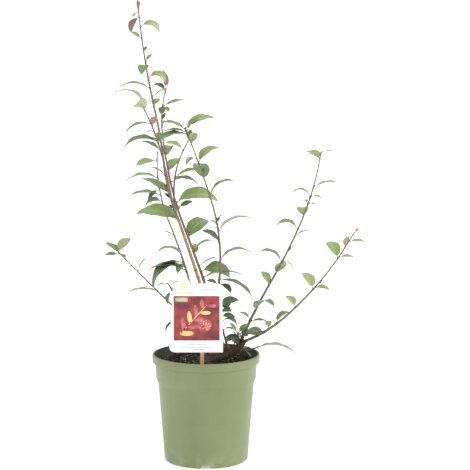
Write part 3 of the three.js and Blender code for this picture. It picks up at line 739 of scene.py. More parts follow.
shoots = [
    {
        "name": "leader", "foot": (15.7, 9, 169), "length": 561, "bare": 0.25, "radius": (3.6, 1),
        "lean": (-4, -16.5, -18, -19.5, -6, -12.5, -9, -5.5), "back": (-2.5, 0.5), "seat": 6, "seed": 11,
        "buds": [0.888], "furled": 18,
        "flushes": [
            lone(0.4, 9.5, 77, "fresh", 60, 68, -26),
            flush(0.43, 0.49, [8.5, 9.5, 8], [15, 17, 14], "deep", 72, 30, -30),
            lone(0.48, 10, 62, "mid", 45, 28),
            lone(0.53, 9, 32, "mid", 70, 55),
            flush(0.73, 0.74, [0.5, 9.5], [27, 14], "mid", 40, 30),
            lone(0.755, 3, 34, "mid", 32, 42),
            lone(0.778, 9, 56, "mid", 49, 84),
            lone(0.805, 3.2, 40, "fresh", 62, 172, 24),
            lone(0.846, 6.4, 37, "fresh", 10, 62),
            lone(0.852, 2.7, 18, "fresh", 71, 50, 25),
            lone(0.917, 9, 23, "fresh", 58, 30, -30),
            lone(0.95, 3, 42, "olive", 50, 150, 20),
            lone(0.98, 7.5, 34, "young", 0, 96),
            lone(0.993, 9.5, 14, "fresh", 10, 85, 27),
            lone(1, 3.5, 14, "young", 88, 20, -30),
        ],
    },
    {
        "name": "second", "from": ("leader", 0.4), "length": 192, "radius": (2.1, 1.1),
        "lean": (-19, -9, -16, -26.5), "back": (-20.5, -4), "seed": 12,
        "flushes": [
            lone(0.63, 9.5, 38, "mid", 58, 48),
            flush(0.7, 0.71, [0, 10.5], [24, 20], "olive", 55, 40),
            lone(0.71, 9, 61, "mid", 50, 84, -8),
            lone(0.795, 9, 14, "mid", 57, 85, -13),
            lone(0.84, 0.5, 25, "blush", 63, 57),
            lone(0.873, 9, 48, "mid", 37, 70),
            lone(0.985, 6.8, 48, "olive", 75, 97, 41),
            lone(1, 9.3, 66, "fresh", 112, 130, 8),
        ],
    },
    {
        "name": "inner", "from": ("leader", 0.415), "length": 131, "radius": (1.9, 1),
        "lean": (-13.5, 1, 19.5, 33.5), "back": (8, 22, 40), "seed": 13,
        "flushes": [
            lone(0.465, 3, 43, "fresh", 43, 40, 10),
            lone(0.83, 9, 36, "mid", 40, 84, -15),
        ],
    },
    {
        "name": "rear", "foot": (28, 14, 174), "length": 431, "bare": 0.27, "radius": (3.1, 0.95),
        "lean": (-14, -16, -20, -20.5, -11.5, -6.5, 16), "back": (4.5, 0.5), "seat": 6, "seed": 21,
        "flushes": [
            lone(0.302, 3.5, 58, "deep", 22, 105, 32),
            lone(0.28, 2.9, 69, "mid", 10, 59, -10),
            lone(0.325, 3, 36, "mid", 28, 38),
            lone(0.367, 12, 26, "fresh", 66, 50),
            lone(0.385, 3, 40, "mid", 36, 60),
            lone(0.435, 1.5, 61, "mid", 59, 88, 26),
            lone(0.556, 3, 27, "mid", 20, 20, 32),
            lone(0.573, 3.5, 13, "fresh", -44, 99, 50),
            lone(0.572, 3, 73, "mid", 29, 90, 27),
            lone(0.652, 3, 50, "deep", 29, 92, 10),
            lone(0.69, 1, 42, "mid", 58, 70),
            lone(0.743, 1, 38, "fresh", 92, 122),
            flush(0.86, 0.88, [3, 2], [13, 15], "deep", 75, 20, 20),
            lone(0.895, 0, 26, "mid", 93, 97),
            lone(0.932, 3.5, 15, "mid", 35, 138, 39),
            lone(0.935, 3, 36, "mid", 37, 24, 10),
            lone(0.985, 3, 12, "mid", 17, 70),
            lone(0.988, 9.5, 27, "deep", 62, 104, -20),
            lone(1, 11.5, 35, "young", 92, 64, 48),
        ],
    },
    {
        "name": "front", "foot": (8, 8, 165), "length": 351, "bare": 0.42, "radius": (2.4, 0.95),
        "lean": (-17, -13.5, -21, 4), "back": (-8, -12), "seat": 4, "seed": 31,
        "flushes": [
            lone(0.425, 9, 66, "mid", 47, 70),
            lone(0.44, 8.5, 74, "deep", 50, 126, -2),
            lone(0.465, 9, 42, "mid", 36, 50, 9),
            lone(0.47, 7, 27, "deep", 0, 40),
            lone(0.485, 9, 56, "mid", 90, 136, 8),
            lone(0.6, 9.5, 21, "mid", 52, 20),
            lone(0.765, 9, 32, "deep", 56, 114, -20),
            lone(0.797, 9, 54, "mid", 34, 53),
            lone(0.83, 8.5, 26, "deep", -15, 33, -20),
            lone(0.88, 9, 56, "mid", 34, 70),
            lone(0.96, 8, 39, "fresh", 18, 47, -15),
        ],
    },
    {
        "name": "upright", "foot": (22.5, 8.5, 172), "length": 372, "bare": 0.29, "radius": (2.6, 0.95),
        "lean": (-6.5, 5.5, -16.5, -22), "back": (-7, -5.5), "seat": 7, "seed": 41, "buds": [0.583],
        "flushes": [
            lone(0.3, 9, 22, "deep", 46, 58, -23),
            lone(0.305, 4, 28, "deep", 20, 85, 8),
            lone(0.325, 3, 66, "deep", 10, 69, -4),
            lone(0.41, 3, 61, "mid", 64, 101),
            lone(0.482, 9, 38, "deep", 77, 68, -20),
            lone(0.535, 3, 65, "mid", 52, 86, -8),
            lone(0.55, 9, 20, "mid", 90, 79, -10),
            lone(0.59, 3, 13, "mid", 40, 20, 13),
            lone(0.693, 3, 55, "deep", 62, 97),
            lone(0.768, 11.5, 57, "mid", 46, 51),
            lone(0.79, 2.5, 13, "deep", 70, 30, 20),
            lone(0.845, 2, 50, "fresh", 50, 88, 8),
            lone(0.86, 9.5, 25, "mid", 53, 139, 25),
            lone(0.927, 0, 41, "fresh", 48, 56),
            lone(0.973, 8.4, 58, "mid", 44, 70, -10),
            flush(0.965, 0.985, [1, 10, 4, 3], [14, 15, 14, 30], "deep", 50, 40, 20),
            lone(0.985, 9, 38, "mid", 44, 37, -8),
            lone(0.995, 9.2, 46, "deep", 58, 54, -4),
            lone(1, 2.5, 54, "fresh", 22, 60, 14),
        ],
    },
    {
        "name": "right_tall", "foot": (54, 14, 186), "length": 332, "bare": 0.095, "radius": (2.5, 0.95),
        "grey": 0.12, "lean": (24, 31, 23, 9), "back": (12, 8), "seed": 51, "buds": [0.5],
        "flushes": [
            lone(0.113, 3, 29, "deep", 47, 35, 6),
            lone(0.12, 9.3, 24, "mid", 42, 63, -15),
            lone(0.168, 4.5, 53, "mid", 81, 116),
            lone(0.307, 11, 33, "mid", 80, 90),
            lone(0.372, 1, 39, "fresh", 63, 31, 9),
            lone(0.435, 9, 49, "mid", 43, 107),
            lone(0.44, 3, 27, "mid", 36, 105),
            lone(0.575, 3, 27, "mid", 70, 47),
            lone(0.61, 9, 43, "mid", 54, 128, -6),
            lone(0.677, 0, 42, "fresh", 63, 68),
            lone(0.74, 8.5, 11, "deep", 55, 20, 47),
            lone(0.745, 3, 12, "mid", 50, 55, 25),
            lone(0.777, 9, 40, "mid", 61, 135),
            lone(0.78, 3, 24, "fresh", 49, 92, 12),
            lone(0.83, 3, 44, "mid", 54, 53),
            lone(0.97, 11, 47, "fresh", 38, 46, -6),
            lone(1, 3, 27, "mid", 47, 75),
        ],
    },
    {
        "name": "right_low", "foot": (57, 13, 187), "length": 264, "bare": 0.16, "radius": (2.5, 0.95),
        "grey": 0.12, "lean": (66, 45.5, 37.5, 27.5), "back": (-18.5, -8.5), "seed": 61, "buds": [0.63],
        "flushes": [
            lone(0.17, 8.5, 34, "deep", -30, 20, -55),
            lone(0.193, 0, 24, "olive", 49, 74),
            lone(0.255, 2.5, 34, "deep", 131, 104, 10),
            lone(0.417, 11, 35, "fresh", 28, 75),
            lone(0.575, 11, 44, "fresh", 45, 90),
            lone(0.585, 3, 27, "mid", 65, 74, 17),
            lone(0.82, 11, 48, "fresh", 48, 96),
            lone(0.828, 3, 26, "olive", 56, 50, 10),
            lone(0.895, 1, 24, "olive", 83, 50, -12),
            lone(0.945, 3, 28, "fresh", 46, 43, 9),
            lone(1, 2.5, 13, "blush", 81, 20, 26),
        ],
    },
    {
        "name": "left_low", "foot": (13, 17, 170.5), "length": 223, "bare": 0.57, "radius": (2.2, 0.9),
        "lean": (-40, -48, -45), "back": (16, 10), "seat": 10, "seed": 71,
        "flushes": [
            lone(0.607, 9, 54, "mid", 63, 49, 9),
            lone(0.8, 3, 30, "mid", 44, 57),
            lone(0.92, 9.5, 14, "mid", 125, 64, -21),
            lone(0.985, 8.5, 27, "mid", 44, 20, -21),
            lone(0.99, 10.5, 37, "mid", 76, 28),
            lone(1, 1, 41, "fresh", 45, 62, 9),
        ],
    },
    {
        "name": "short_right", "foot": (35, 12.5, 177), "length": 71, "bare": 0, "radius": (2, 1),
        "lean": (-20, -6), "back": (30, -1), "seat": 6, "seed": 81,
        "flushes": [
            flush(0.42, 0.62, [3, 3.5], [22, 33], "deep", 45, 125, 6),
            flush(0.74, 0.8, [3, 11.5], [26, 28], "deep", 20, 70, 30),
            flush(0.86, 0.93, [4.5, 2], [30, 24], "deep", 35, 60, 40),
            flush(0.97, 1, [3.2, 10, 5.5], [36, 24, 28], "deep", 40, 55, 45),
        ],
    },
    {
        "name": "short_left", "foot": (3, 10.5, 161), "length": 137, "bare": 0, "radius": (2, 1),
        "lean": (-23, -31.5), "back": (2, -6), "seed": 91,
        "flushes": [
            lone(0.36, 9, 71, "deep", 102, 160, 9),
            flush(0.9, 0.96, [12, 3], [22, 18], "deep", 40, 75),
            lone(0.92, 9.5, 26, "deep", -20, 60, 20),
            lone(1, 9, 24, "mid", 60, 100),
        ],
    },
    {
        "name": "fork_sprig", "foot": (50.5, 13, 182.5), "length": 19, "bare": 0, "radius": (2.2, 1.1),
        "lean": (10, -10), "back": (-14, -4), "seat": 2, "seed": 101,
        "flushes": [
            lone(0.9, 7.6, 28, "deep", 20, 50, -30),
            lone(0.995, 7.1, 25, "deep", 12, 63, -20),
            lone(0.7, 6.4, 20, "deep", 10, 51),
            lone(0.82, 9, 27, "deep", 37, 20, -38),
            lone(0.995, 9.6, 24, "deep", 80, 36, -35),
            lone(1, 1.6, 24, "deep", 45, 40, 35),
            lone(0.99, 2.9, 25, "deep", 12, 30, 42),
            lone(0.75, 4, 22, "deep", 34, 50, 18),
            lone(0.6, 8, 24, "deep", 40, 60, -20),
        ],
    },
    {
        "name": "rim_sprig", "foot": (48, 12, 174.5), "length": 38, "bare": 0, "radius": (1.7, 1.2),
        "lean": (93, 66), "back": (-8, -6), "seed": 111,
        "flushes": [
            lone(0.28, 1, 22, "deep", 50, 60),
            lone(0.36, 4.6, 21, "deep", 34, 50, -30),
            lone(0.95, 3, 66, "mid", 87, 69, -10),
        ],
    },
]


# Numbers from one seed, the same on every run
class Dice:
    def __init__(self, seed):
        self.state = seed * 48271

    def draw(self, low, high):
        self.state = self.state * 16807 % 2147483647
        return low + (high - low) * self.state / 2147483647


def between(values, share):
    place = min(1, max(0, share)) * (len(values) - 1)
    first = min(int(place), len(values) - 2)
    return values[first] + (values[first + 1] - values[first]) * (place - first)


def heading(limb, share):
    lean = between(limb["lean"], share) * degree
    back = between(limb["back"], share) * degree
    return np.array([
        math.sin(lean) * math.cos(back), math.sin(back), math.cos(lean) * math.cos(back)])


def walk(limb):
    points = [np.array(limb["foot"], float)]
    for i in range(limbSteps):
        points.append(points[i] + heading(limb, (i + 0.5) / limbSteps) * limb["length"] / limbSteps)
    return points


def along(limb, share):
    place = share * limbSteps
    first = max(0, min(int(math.floor(place)), limbSteps - 1))
    return limb["path"][first] + (limb["path"][first + 1] - limb["path"][first]) * (place - first)


def thickness(limb, share):
    first, last = limb["radius"]
    return first + (last - first) * max(0, share) ** 0.8


# The radius with the swelling at the foot
def girth(limb, share):
    return thickness(limb, share) + limb.get("flare", 0) * max(0, 1 - share * 5) ** 2


def halfWidth(leaf, s):
    blade = np.clip((s - leaf["petiole"]) / (1 - leaf["petiole"]), 0, 1)
    atRoot, more = leafShape["fill"]
    swell = np.maximum(0, np.sin(math.pi * blade ** leafShape["swell"])) ** (atRoot + more * blade)
    stalk = leafShape["petioleHalf"] * (1 - blade)
    return np.maximum(stalk, leaf["width"] * swell)


# Points of a blade: s runs from root to tip, across from edge to edge, lift off its face
def leafPoints(leaf, s, across, lift):
    s = np.asarray(s, float)[:, None]
    angle = leaf["rise"] + leaf["turn"] * s
    reach = leaf["length"] * (np.sin(angle) - math.sin(leaf["rise"])) / leaf["turn"]
    height = leaf["length"] * (math.cos(leaf["rise"]) - np.cos(angle)) / leaf["turn"]
    out = np.array([math.cos(leaf["azimuth"]), math.sin(leaf["azimuth"]), 0])
    forward = out * np.cos(angle) + up * np.sin(angle)
    level = np.array([math.sin(leaf["azimuth"]), -math.cos(leaf["azimuth"]), 0])
    roll = leaf["roll"] * np.minimum(1, s * 3)
    side = level * np.cos(roll) + np.cross(forward, level) * np.sin(roll)
    normal = np.cross(side, forward)
    half = halfWidth(leaf, s) * np.asarray(across, float)[:, None]
    rise = np.abs(half) * math.sin(leaf["fold"]) + np.asarray(lift, float).reshape(-1, 1)
    return leaf["root"] + out * reach + up * height + side * half * math.cos(leaf["fold"]) + normal * rise


sampleShares = np.repeat(room["shares"], len(room["across"]))
sampleAcross = np.tile(room["across"], len(room["shares"]))


# Leaves keep well off the other masses and the bare limbs, and may come close within their own
def clearOfThings(samples, root, mass, stems, placed):
    radius = np.hypot(samples[:, 0], samples[:, 1])
    atRim = (radius > pot["mouthRadius"] - room["rim"]) & (radius < pot["lipRadius"] + room["rim"])
    if np.any(atRim & (samples[:, 2] < pot["height"] + room["rim"])):
        return False
    if np.any((radius <= pot["mouthRadius"]) & (samples[:, 2] < soil["level"] + room["rim"])):
        return False
    inCard = (samples[:, 0] > card["bottomLeft"] - room["card"])
    inCard &= samples[:, 0] < card["bottomRight"] + room["card"]
    inCard &= samples[:, 2] < card["top"] + card["tabHeight"] + room["card"]
    if np.any(inCard & (np.abs(samples[:, 1] - card["front"]) < room["card"])):
        return False
    others = stems["points"][np.linalg.norm(stems["points"][:, :3] - root, axis=1) > room["ownStem"]]
    masses = stems["masses"][np.linalg.norm(stems["points"][:, :3] - root, axis=1) > room["ownStem"]]
    space = others[:, 3] + np.where(masses == mass, 0, room["stem"])
    if np.any(np.linalg.norm(samples[:, None] - others[None, :, :3], axis=2) < space):
        return False
    for leaf in placed:
        if np.linalg.norm(leaf["samples"][1] - samples[1]) > room["far"]:
            continue
        space = room["close"] if leaf["mass"] == mass else room["leaf"]
        if np.any(np.linalg.norm(samples[:, None] - leaf["samples"][None], axis=2) < space):
            return False
    return True


# The leaves of one shoot. Six draws for each leaf keep the sequence whole when one is skipped.
def growLeaves(shoot, stems, placed):
    dice = Dice(shoot["seed"])
    leaves = []
    for run in shoot["flushes"]:
        count = len(run["hours"])
        for i, hour in enumerate(run["hours"]):
            share = run["start"] + (run["end"] - run["start"]) * (i / (count - 1) if count > 1 else 1)
            rise = (run["rise"] + dice.draw(-vary["rise"], vary["rise"])) * degree
            turn = -(run["arch"] + dice.draw(-vary["arch"], vary["arch"])) * degree
            length = run["sizes"][i] * (1 + dice.draw(-vary["size"], vary["size"]))
            roll = (run["face"] + dice.draw(-vary["face"], vary["face"])) * degree
            fold = dice.draw(*vary["fold"]) * degree
            drift = dice.draw(-vary["hour"], vary["hour"])
            forward = heading(shoot, share)
            for nudge in room["hourTries"]:
                azimuth = (3 - hour - drift - nudge) * 30 * degree
                towards = math.asin(forward[0] * math.cos(azimuth) + forward[1] * math.sin(azimuth))
                leaf = {
                    "root": along(shoot, share), "azimuth": azimuth, "turn": turn, "length": length,
                    "fold": fold, "rise": rise - towards, "roll": roll,
                    "width": length * leafShape["widthRatio"] / 2,
                    "petiole": leafShape["petiole"] / length,
                    "share": share, "tint": run["tint"], "forward": forward,
                    "stem": thickness(shoot, share),
                }
                samples = leafPoints(leaf, sampleShares, sampleAcross, 0 * sampleShares)
                if clearOfThings(samples, leaf["root"], shoot["mass"], stems, placed):
                    placed.append({"samples": samples, "mass": shoot["mass"]})
                    leaves.append(leaf)
                    break
    return leaves


def growShrub():
    named = {}
    trunk["path"] = walk(trunk)
    for shoot in shoots:
        shoot["mass"] = shoot["name"]
        if "from" in shoot:
            parent, share = shoot["from"]
            shoot["foot"] = along(named[parent], share)
            shoot["mass"] = parent
            shoot["bare"] = 0
        shoot["path"] = walk(shoot)
        named[shoot["name"]] = shoot
    points = []
    masses = []
    for limb in [trunk, *shoots]:
        pieces = math.ceil(limb["length"] / room["spacing"])
        for i in range(pieces + 1):
            points.append((*along(limb, i / pieces), thickness(limb, i / pieces)))
            masses.append(limb["mass"] if i / pieces >= limb["bare"] else "")
    stems = {"points": np.array(points), "masses": np.array(masses)}
    placed = []
    for shoot in shoots:
        shoot["leaves"] = growLeaves(shoot, stems, placed)
    print("leaves grown:", len(placed))


growShrub()
masses = ["foliage_" + shoot["name"] for shoot in shoots if "from" not in shoot]


# Trunk, boughs and twigs

bark = {
    "voxel": 0.5, "sides": 16, "trunkSides": 28, "twigSides": 12, "spurSides": 8, "spacing": 1.2,
    "trunkLumps": 0.55, "boughLumps": 0.12, "spurLumps": 0.03, "seed": 7,
    "trunkRidge": 0.9, "boughRidge": 0.16, "twigRidge": 0.08, "ridgeScale": 2.6, "offTrunk": 1.5, "blend": 9,
    "knotWide": 1.7, "scarFirst": (6, 14), "scarStep": (15, 25), "scarLast": 5, "scarSize": (0.3, 0.65),
    "nodeSize": (0.25, 0.4), "joinSize": 0.4, "sunk": 0.16, "trunkEnd": 1.03, "twigSunk": 1.5,
    "old": (0.075, 0.046, 0.034), "warm": (0.27, 0.17, 0.1), "tan": (0.43, 0.3, 0.175),
    "brown": (0.2, 0.165, 0.115), "grey": (0.175, 0.16, 0.125), "red": (0.2, 0.15, 0.115),
    # The flake colour is pale flaking bark and also painted highlight, laid on the ridge tops.
    "flakeAndHighlight": (0.36, 0.25, 0.19), "speck": (0.42, 0.34, 0.27), "thick": 5.6, "thin": 1,
    "spur": (0.95, 0.6), "spurReach": (2, 4.5), "spurScar": 0.5, "spurFrom": 12,
}
# Old stubs on the trunk: place along it, turn round it, reach and radii
trunkStubs = [
    (0.5, -0.5, 8, (1.7, 1.2)), (0.66, 0.4, 12, (1.6, 1)), (0.76, -0.8, 9, (1.4, 1)),
    (0.88, -0.1, 13, (1.5, 0.9)), (0.97, -0.6, 8, (1.3, 0.9)), (1, 0.5, 9, (1.4, 1)),
]


# Where old leaves have dropped, and where leaves stand, the stem is a little swollen
def addKnots(limb, dealer):
    knots = []
    place = dealer.uniform(*bark["scarFirst"])
    bareLength = limb["bare"] * limb["length"]
    while place < bareLength - bark["scarLast"]:
        knots.append((place, dealer.uniform(0, 2 * math.pi), dealer.uniform(*bark["scarSize"])))
        place += dealer.uniform(*bark["scarStep"])
    for leaf in limb.get("leaves", []):
        knots.append((leaf["share"] * limb["length"], None, dealer.uniform(*bark["nodeSize"])))
    if bareLength and limb is not trunk:
        knots.append((bareLength, None, bark["joinSize"]))
    limb["knots"] = knots


def knotHeight(limb, place, turn):
    height = 0
    for middle, side, size in limb["knots"]:
        away = (place - middle) / bark["knotWide"]
        if abs(away) < 3:
            lopsided = 0.75 if side is None else 0.5 + 0.5 * math.cos(turn - side)
            height += size * lopsided * math.exp(-away * away)
    return height


# Long low ridges that follow the limb, and lumps on old wood
def barkHeight(grain, size):
    ridges = noise.fractal(Vector((grain[0] * 0.9, grain[1] * 0.9, grain[2] * 0.16)), 0.8, 2.2, 3)
    lumps = noise.noise(Vector((grain[0] * 0.22, grain[1] * 0.22, grain[2] * 0.09 + 7)))
    return size * (0.7 * ridges + 0.8 * lumps)


# The way a limb heads at one place, and two directions square to it
def limbFrame(limb, share):
    forward = heading(limb, share)
    side = np.cross(forward, (0, 1, 0))
    side /= np.linalg.norm(side)
    return forward, side, np.cross(side, forward)


# Bark goes from old to young as a limb thins. A grey limb is paled by its own share of that.
def youth(limb, share):
    thinned = (bark["thick"] - girth(limb, share)) / (bark["thick"] - bark["thin"])
    return min(1, max(0, thinned) + limb.get("grey", 0))


# Faces between one ring of points and the next, and a cap at either end
def tubeFaces(rings, sides):
    faces = []
    for i in range(rings):
        for j in range(sides):
            near = i * sides
            far = near + sides
            faces.append([near + j, far + j, far + (j + 1) % sides, near + (j + 1) % sides])
    faces.append(list(range(sides)))
    faces.append([rings * sides + j for j in reversed(range(sides))])
    return faces


# A closed tube round a limb as points and faces, with the bark's marks at each point: three numbers
# for its grain, one for its age and one for scars
def limbTube(limb, start, end, sides, ridge):
    length = limb["length"]
    rings = max(4, math.ceil((end - start) * length / bark["spacing"]))
    points = []
    marks = []
    for i in range(rings + 1):
        share = start + (end - start) * i / rings
        _, side, third = limbFrame(limb, share)
        middle = along(limb, share)
        plain = girth(limb, share)
        for j in range(sides):
            turn = 2 * math.pi * j / sides
            grain = (plain * math.cos(turn), plain * math.sin(turn), share * length)
            knot = knotHeight(limb, share * length, turn)
            radius = plain + knot + barkHeight(grain, ridge)
            if i in (0, rings):
                radius *= 0.6
            points.append(middle + (side * math.cos(turn) + third * math.sin(turn)) * radius)
            marks.append((*grain, youth(limb, share), knot))
    return points, tubeFaces(rings, sides), marks


# Several tubes as one mesh that keeps the bark's marks
def joinTubes(name, tubes, paint):
    points = []
    faces = []
    marks = []
    for tubePoints, facesOfTube, marksOfTube in tubes:
        faces += shifted(facesOfTube, len(points))
        points += tubePoints
        marks += marksOfTube
    piece = meshFromArrays(name, np.array(points) * mm, faces, [0] * len(faces), [paint])
    storeBark(piece, marks)
    return piece


# What the piece has under these names is replaced
def storeBark(piece, marks):
    marks = np.array(marks, float)
    for name, kind, field, values in [
        ("grain", "FLOAT_VECTOR", "vector", marks[:, :3]), ("age", "FLOAT", "value", marks[:, 3]),
        ("scar", "FLOAT", "value", marks[:, 4]),
    ]:
        if name in piece.data.attributes:
            piece.data.attributes.remove(piece.data.attributes[name])
        piece.data.attributes.new(name, kind, "POINT").data.foreach_set(field, values.ravel())


def barkPaint():
    paint = Paint("thin_bark", bark["brown"], 0.8, Specular_IOR_Level=0.3)
    grain = paint.attribute("grain")
    age = paint.attribute("age", "Fac")
    ridges = paint.noise(paint.scaled(grain, (0.9, 0.9, 0.14)), 1.4, 6, 0.65)
    patches = paint.noise(paint.scaled(grain, (0.3, 0.3, 0.12)), 1, 3)
    tone = paint.ramp(age + (patches - 0.5) * 0.3, [
        (0, bark["old"]), (0.3, bark["warm"]), (0.45, bark["tan"]), (0.66, bark["tan"]),
        (0.77, bark["brown"]), (0.9, bark["grey"]), (1, bark["red"]),
    ])
    scar = paint.band(paint.attribute("scar", "Fac"), 0.12, 0.32, 0, 0.75)
    tone = paint.mix(scar, tone, bark["old"])
    dark = paint.mix(paint.band(ridges, 0.52, 0.36, 0, 0.65), tone, bark["old"])
    # Paler on the ridge tops: pale flakes of bark, and painted highlight where the raised bark catches the
    # light.
    flakesAndHighlights = paint.mix(paint.band(ridges, 0.55, 0.66, 0, 0.5), dark, bark["flakeAndHighlight"])
    specks = paint.band(paint.noise(grain, 2.4, 1), 0.7, 0.76, 0, 0.5)
    paint.feed("Base Color", paint.mix(specks, flakesAndHighlights, bark["speck"]))
    paint.feed("Roughness", paint.band(ridges, 0.3, 0.7, 0.9, 0.65))
    paint.bump(ridges, 0.0003)
    return paint


# The stub of an old side twig
def spurTube(limb, share, turn, reach, radius):
    forward, side, third = limbFrame(limb, share)
    out = side * math.cos(turn) + third * math.sin(turn)
    aim = out * 0.8 + forward * 0.6
    lean = math.atan2(aim[0], aim[2]) / degree
    back = math.asin(max(-1, min(1, aim[1] / np.linalg.norm(aim)))) / degree
    spur = {
        "foot": along(limb, share), "length": thickness(limb, share) + reach,
        "lean": (lean, lean * 0.8), "back": (back, back), "radius": radius, "knots": [],
    }
    spur["path"] = walk(spur)
    return limbTube(spur, 0, 1, bark["spurSides"], bark["spurLumps"])


# One skin over trunk and boughs, so that they grow out of each other
def makeWood(paint):
    dealer = random.Random(bark["seed"])
    for limb in [trunk, *shoots]:
        addKnots(limb, dealer)
    tubes = [limbTube(trunk, -bark["sunk"], bark["trunkEnd"], bark["trunkSides"], bark["trunkLumps"])]
    for share, turn, reach, radius in trunkStubs:
        tubes.append(spurTube(trunk, share, turn, reach, radius))
    for shoot in shoots:
        if shoot["bare"]:
            start = -shoot.get("seat", 0) / shoot["length"]
            tubes.append(limbTube(shoot, start, shoot["bare"], bark["sides"], bark["boughLumps"]))
            for place, turn, size in shoot["knots"]:
                if turn is not None and size > bark["spurScar"] and place > bark["spurFrom"]:
                    reach = dealer.uniform(*bark["spurReach"])
                    tubes.append(spurTube(shoot, place / shoot["length"], turn, reach, bark["spur"]))
    piece = joinTubes("trunk_and_boughs", tubes, paint)
    outwardNormals(piece)
    applyModifier(piece, "REMESH", "oneSkin", mode="VOXEL", voxel_size=bark["voxel"] * mm)
    applyModifier(piece, "SMOOTH", "softened", factor=0.5, iterations=2)
    editAll(piece)
    ground = (0, 0, trunk["foot"][2] * mm)
    bpy.ops.mesh.bisect(plane_co=ground, plane_no=(0, 0, 1), use_fill=True, clear_inner=True)
    bpy.ops.object.mode_set(mode="OBJECT")
    ridgeSkin(piece)
    finishPiece(piece, "trunk_and_boughs",
                ["trunk", *["bough_" + shoot["name"] for shoot in shoots if shoot["bare"]]], 60)


# Places along the bare part of some limbs, with a tree to find the nearest one
def axisTree(limbs):
    places = []
    for limb in limbs:
        start = -bark["sunk"] if limb is trunk else 0
        steps = math.ceil(limb["length"] * (limb["bare"] - start))
        for i in range(steps + 1):
            places.append((limb, start + (limb["bare"] - start) * i / steps))
    tree = kdtree.KDTree(len(places))
    for i, (limb, share) in enumerate(places):
        tree.insert(along(limb, share), i)
    tree.balance()
    return tree, places


# The skin has lost its tubes, so each point looks up the nearest place on a limb's axis.
# What lies on the trunk is the trunk's, and the boughs' bark is old near it.
def ridgeSkin(piece):
    tree, places = axisTree([shoot for shoot in shoots if shoot["bare"]])
    trunkTree, trunkPlaces = axisTree([trunk])
    points = readPoints(piece) / mm
    normals = np.empty(len(points) * 3)
    piece.data.vertices.foreach_get("normal", normals)
    normals = normals.reshape(-1, 3)
    marks = []
    ground = trunk["foot"][2]
    for i, point in enumerate(points):
        _, index, distance = trunkTree.find(point)
        limb, share = trunkPlaces[index]
        offTrunk = distance - girth(limb, share)
        if offTrunk > bark["offTrunk"]:
            _, index, _ = tree.find(point)
            limb, share = places[index]
        forward, side, third = limbFrame(limb, share)
        away = point - along(limb, share)
        grain = (away @ side, away @ third, share * limb["length"] + away @ forward)
        turn = math.atan2(away @ third, away @ side)
        ridge = bark["trunkRidge"] if limb is trunk else bark["boughRidge"]
        if point[2] > ground + 0.01:
            points[i] = point + normals[i] * barkHeight(np.array(grain) * bark["ridgeScale"], ridge)
            points[i][2] = max(points[i][2], ground)
        age = youth(limb, share) * min(1, max(0, offTrunk / bark["blend"]))
        marks.append((*grain, age, knotHeight(limb, share * limb["length"], turn)))
    writePoints(piece, points * mm)
    storeBark(piece, marks)


# The stems inside the masses grow on from the boughs' tips
def makeTwigs(paint):
    tubes = []
    for shoot in shoots:
        sunk = bark["twigSunk"] if shoot["bare"] else shoot.get("seat", 0)
        start = shoot["bare"] - sunk / shoot["length"]
        tubes.append(limbTube(shoot, start, 1, bark["twigSides"], bark["twigRidge"]))
    piece = joinTubes("twigs", tubes, paint)
    outwardNormals(piece)
    finishPiece(piece, "twigs", masses, 60)


# Leaves

blade = {
    "stations": 44, "across": 8, "thickness": 0.42, "tooth": 0.28, "keel": 1.1, "recurve": 0.05,
    "veins": 8, "veinSlant": 0.55, "quilt": 0.13, "ripple": 0.5, "waves": 2.6, "seed": 3,
    "gloss": 0.36, "underGloss": 0.55, "usual": 60,
    "stalk": (0.85, 0.7), "stalkRings": 3, "stalkDrop": 0.3, "stalkSides": 6,
    "midrib": (0.62, 0.16), "midribRings": 9, "midribEnd": 0.82, "midribDrop": 0.7,
}
# Plain colours, dealt out leaf by leaf: the upper face and the paler face below
tintNames = ["deep", "mid", "fresh", "olive", "young", "blush"]
upperTints = {
    "deep": (0.09, 0.145, 0.06), "mid": (0.165, 0.255, 0.085), "fresh": (0.24, 0.35, 0.11),
    "olive": (0.32, 0.38, 0.15), "young": (0.22, 0.09, 0.08), "blush": (0.42, 0.24, 0.17),
}
underTints = {
    "deep": (0.17, 0.21, 0.145), "mid": (0.27, 0.33, 0.21), "fresh": (0.34, 0.42, 0.23),
    "olive": (0.4, 0.45, 0.26), "young": (0.27, 0.14, 0.12), "blush": (0.5, 0.33, 0.24),
}
stalkTint = (0.24, 0.27, 0.1)
stalkBlush = (0.26, 0.15, 0.08)
tintShares = {
    "deep": {"deep": 7, "mid": 2}, "mid": {"mid": 7, "fresh": 2, "deep": 1},
    "fresh": {"fresh": 7, "mid": 1, "olive": 2}, "olive": {"olive": 8, "fresh": 2},
    "young": {"young": 1}, "blush": {"blush": 7, "olive": 2},
}


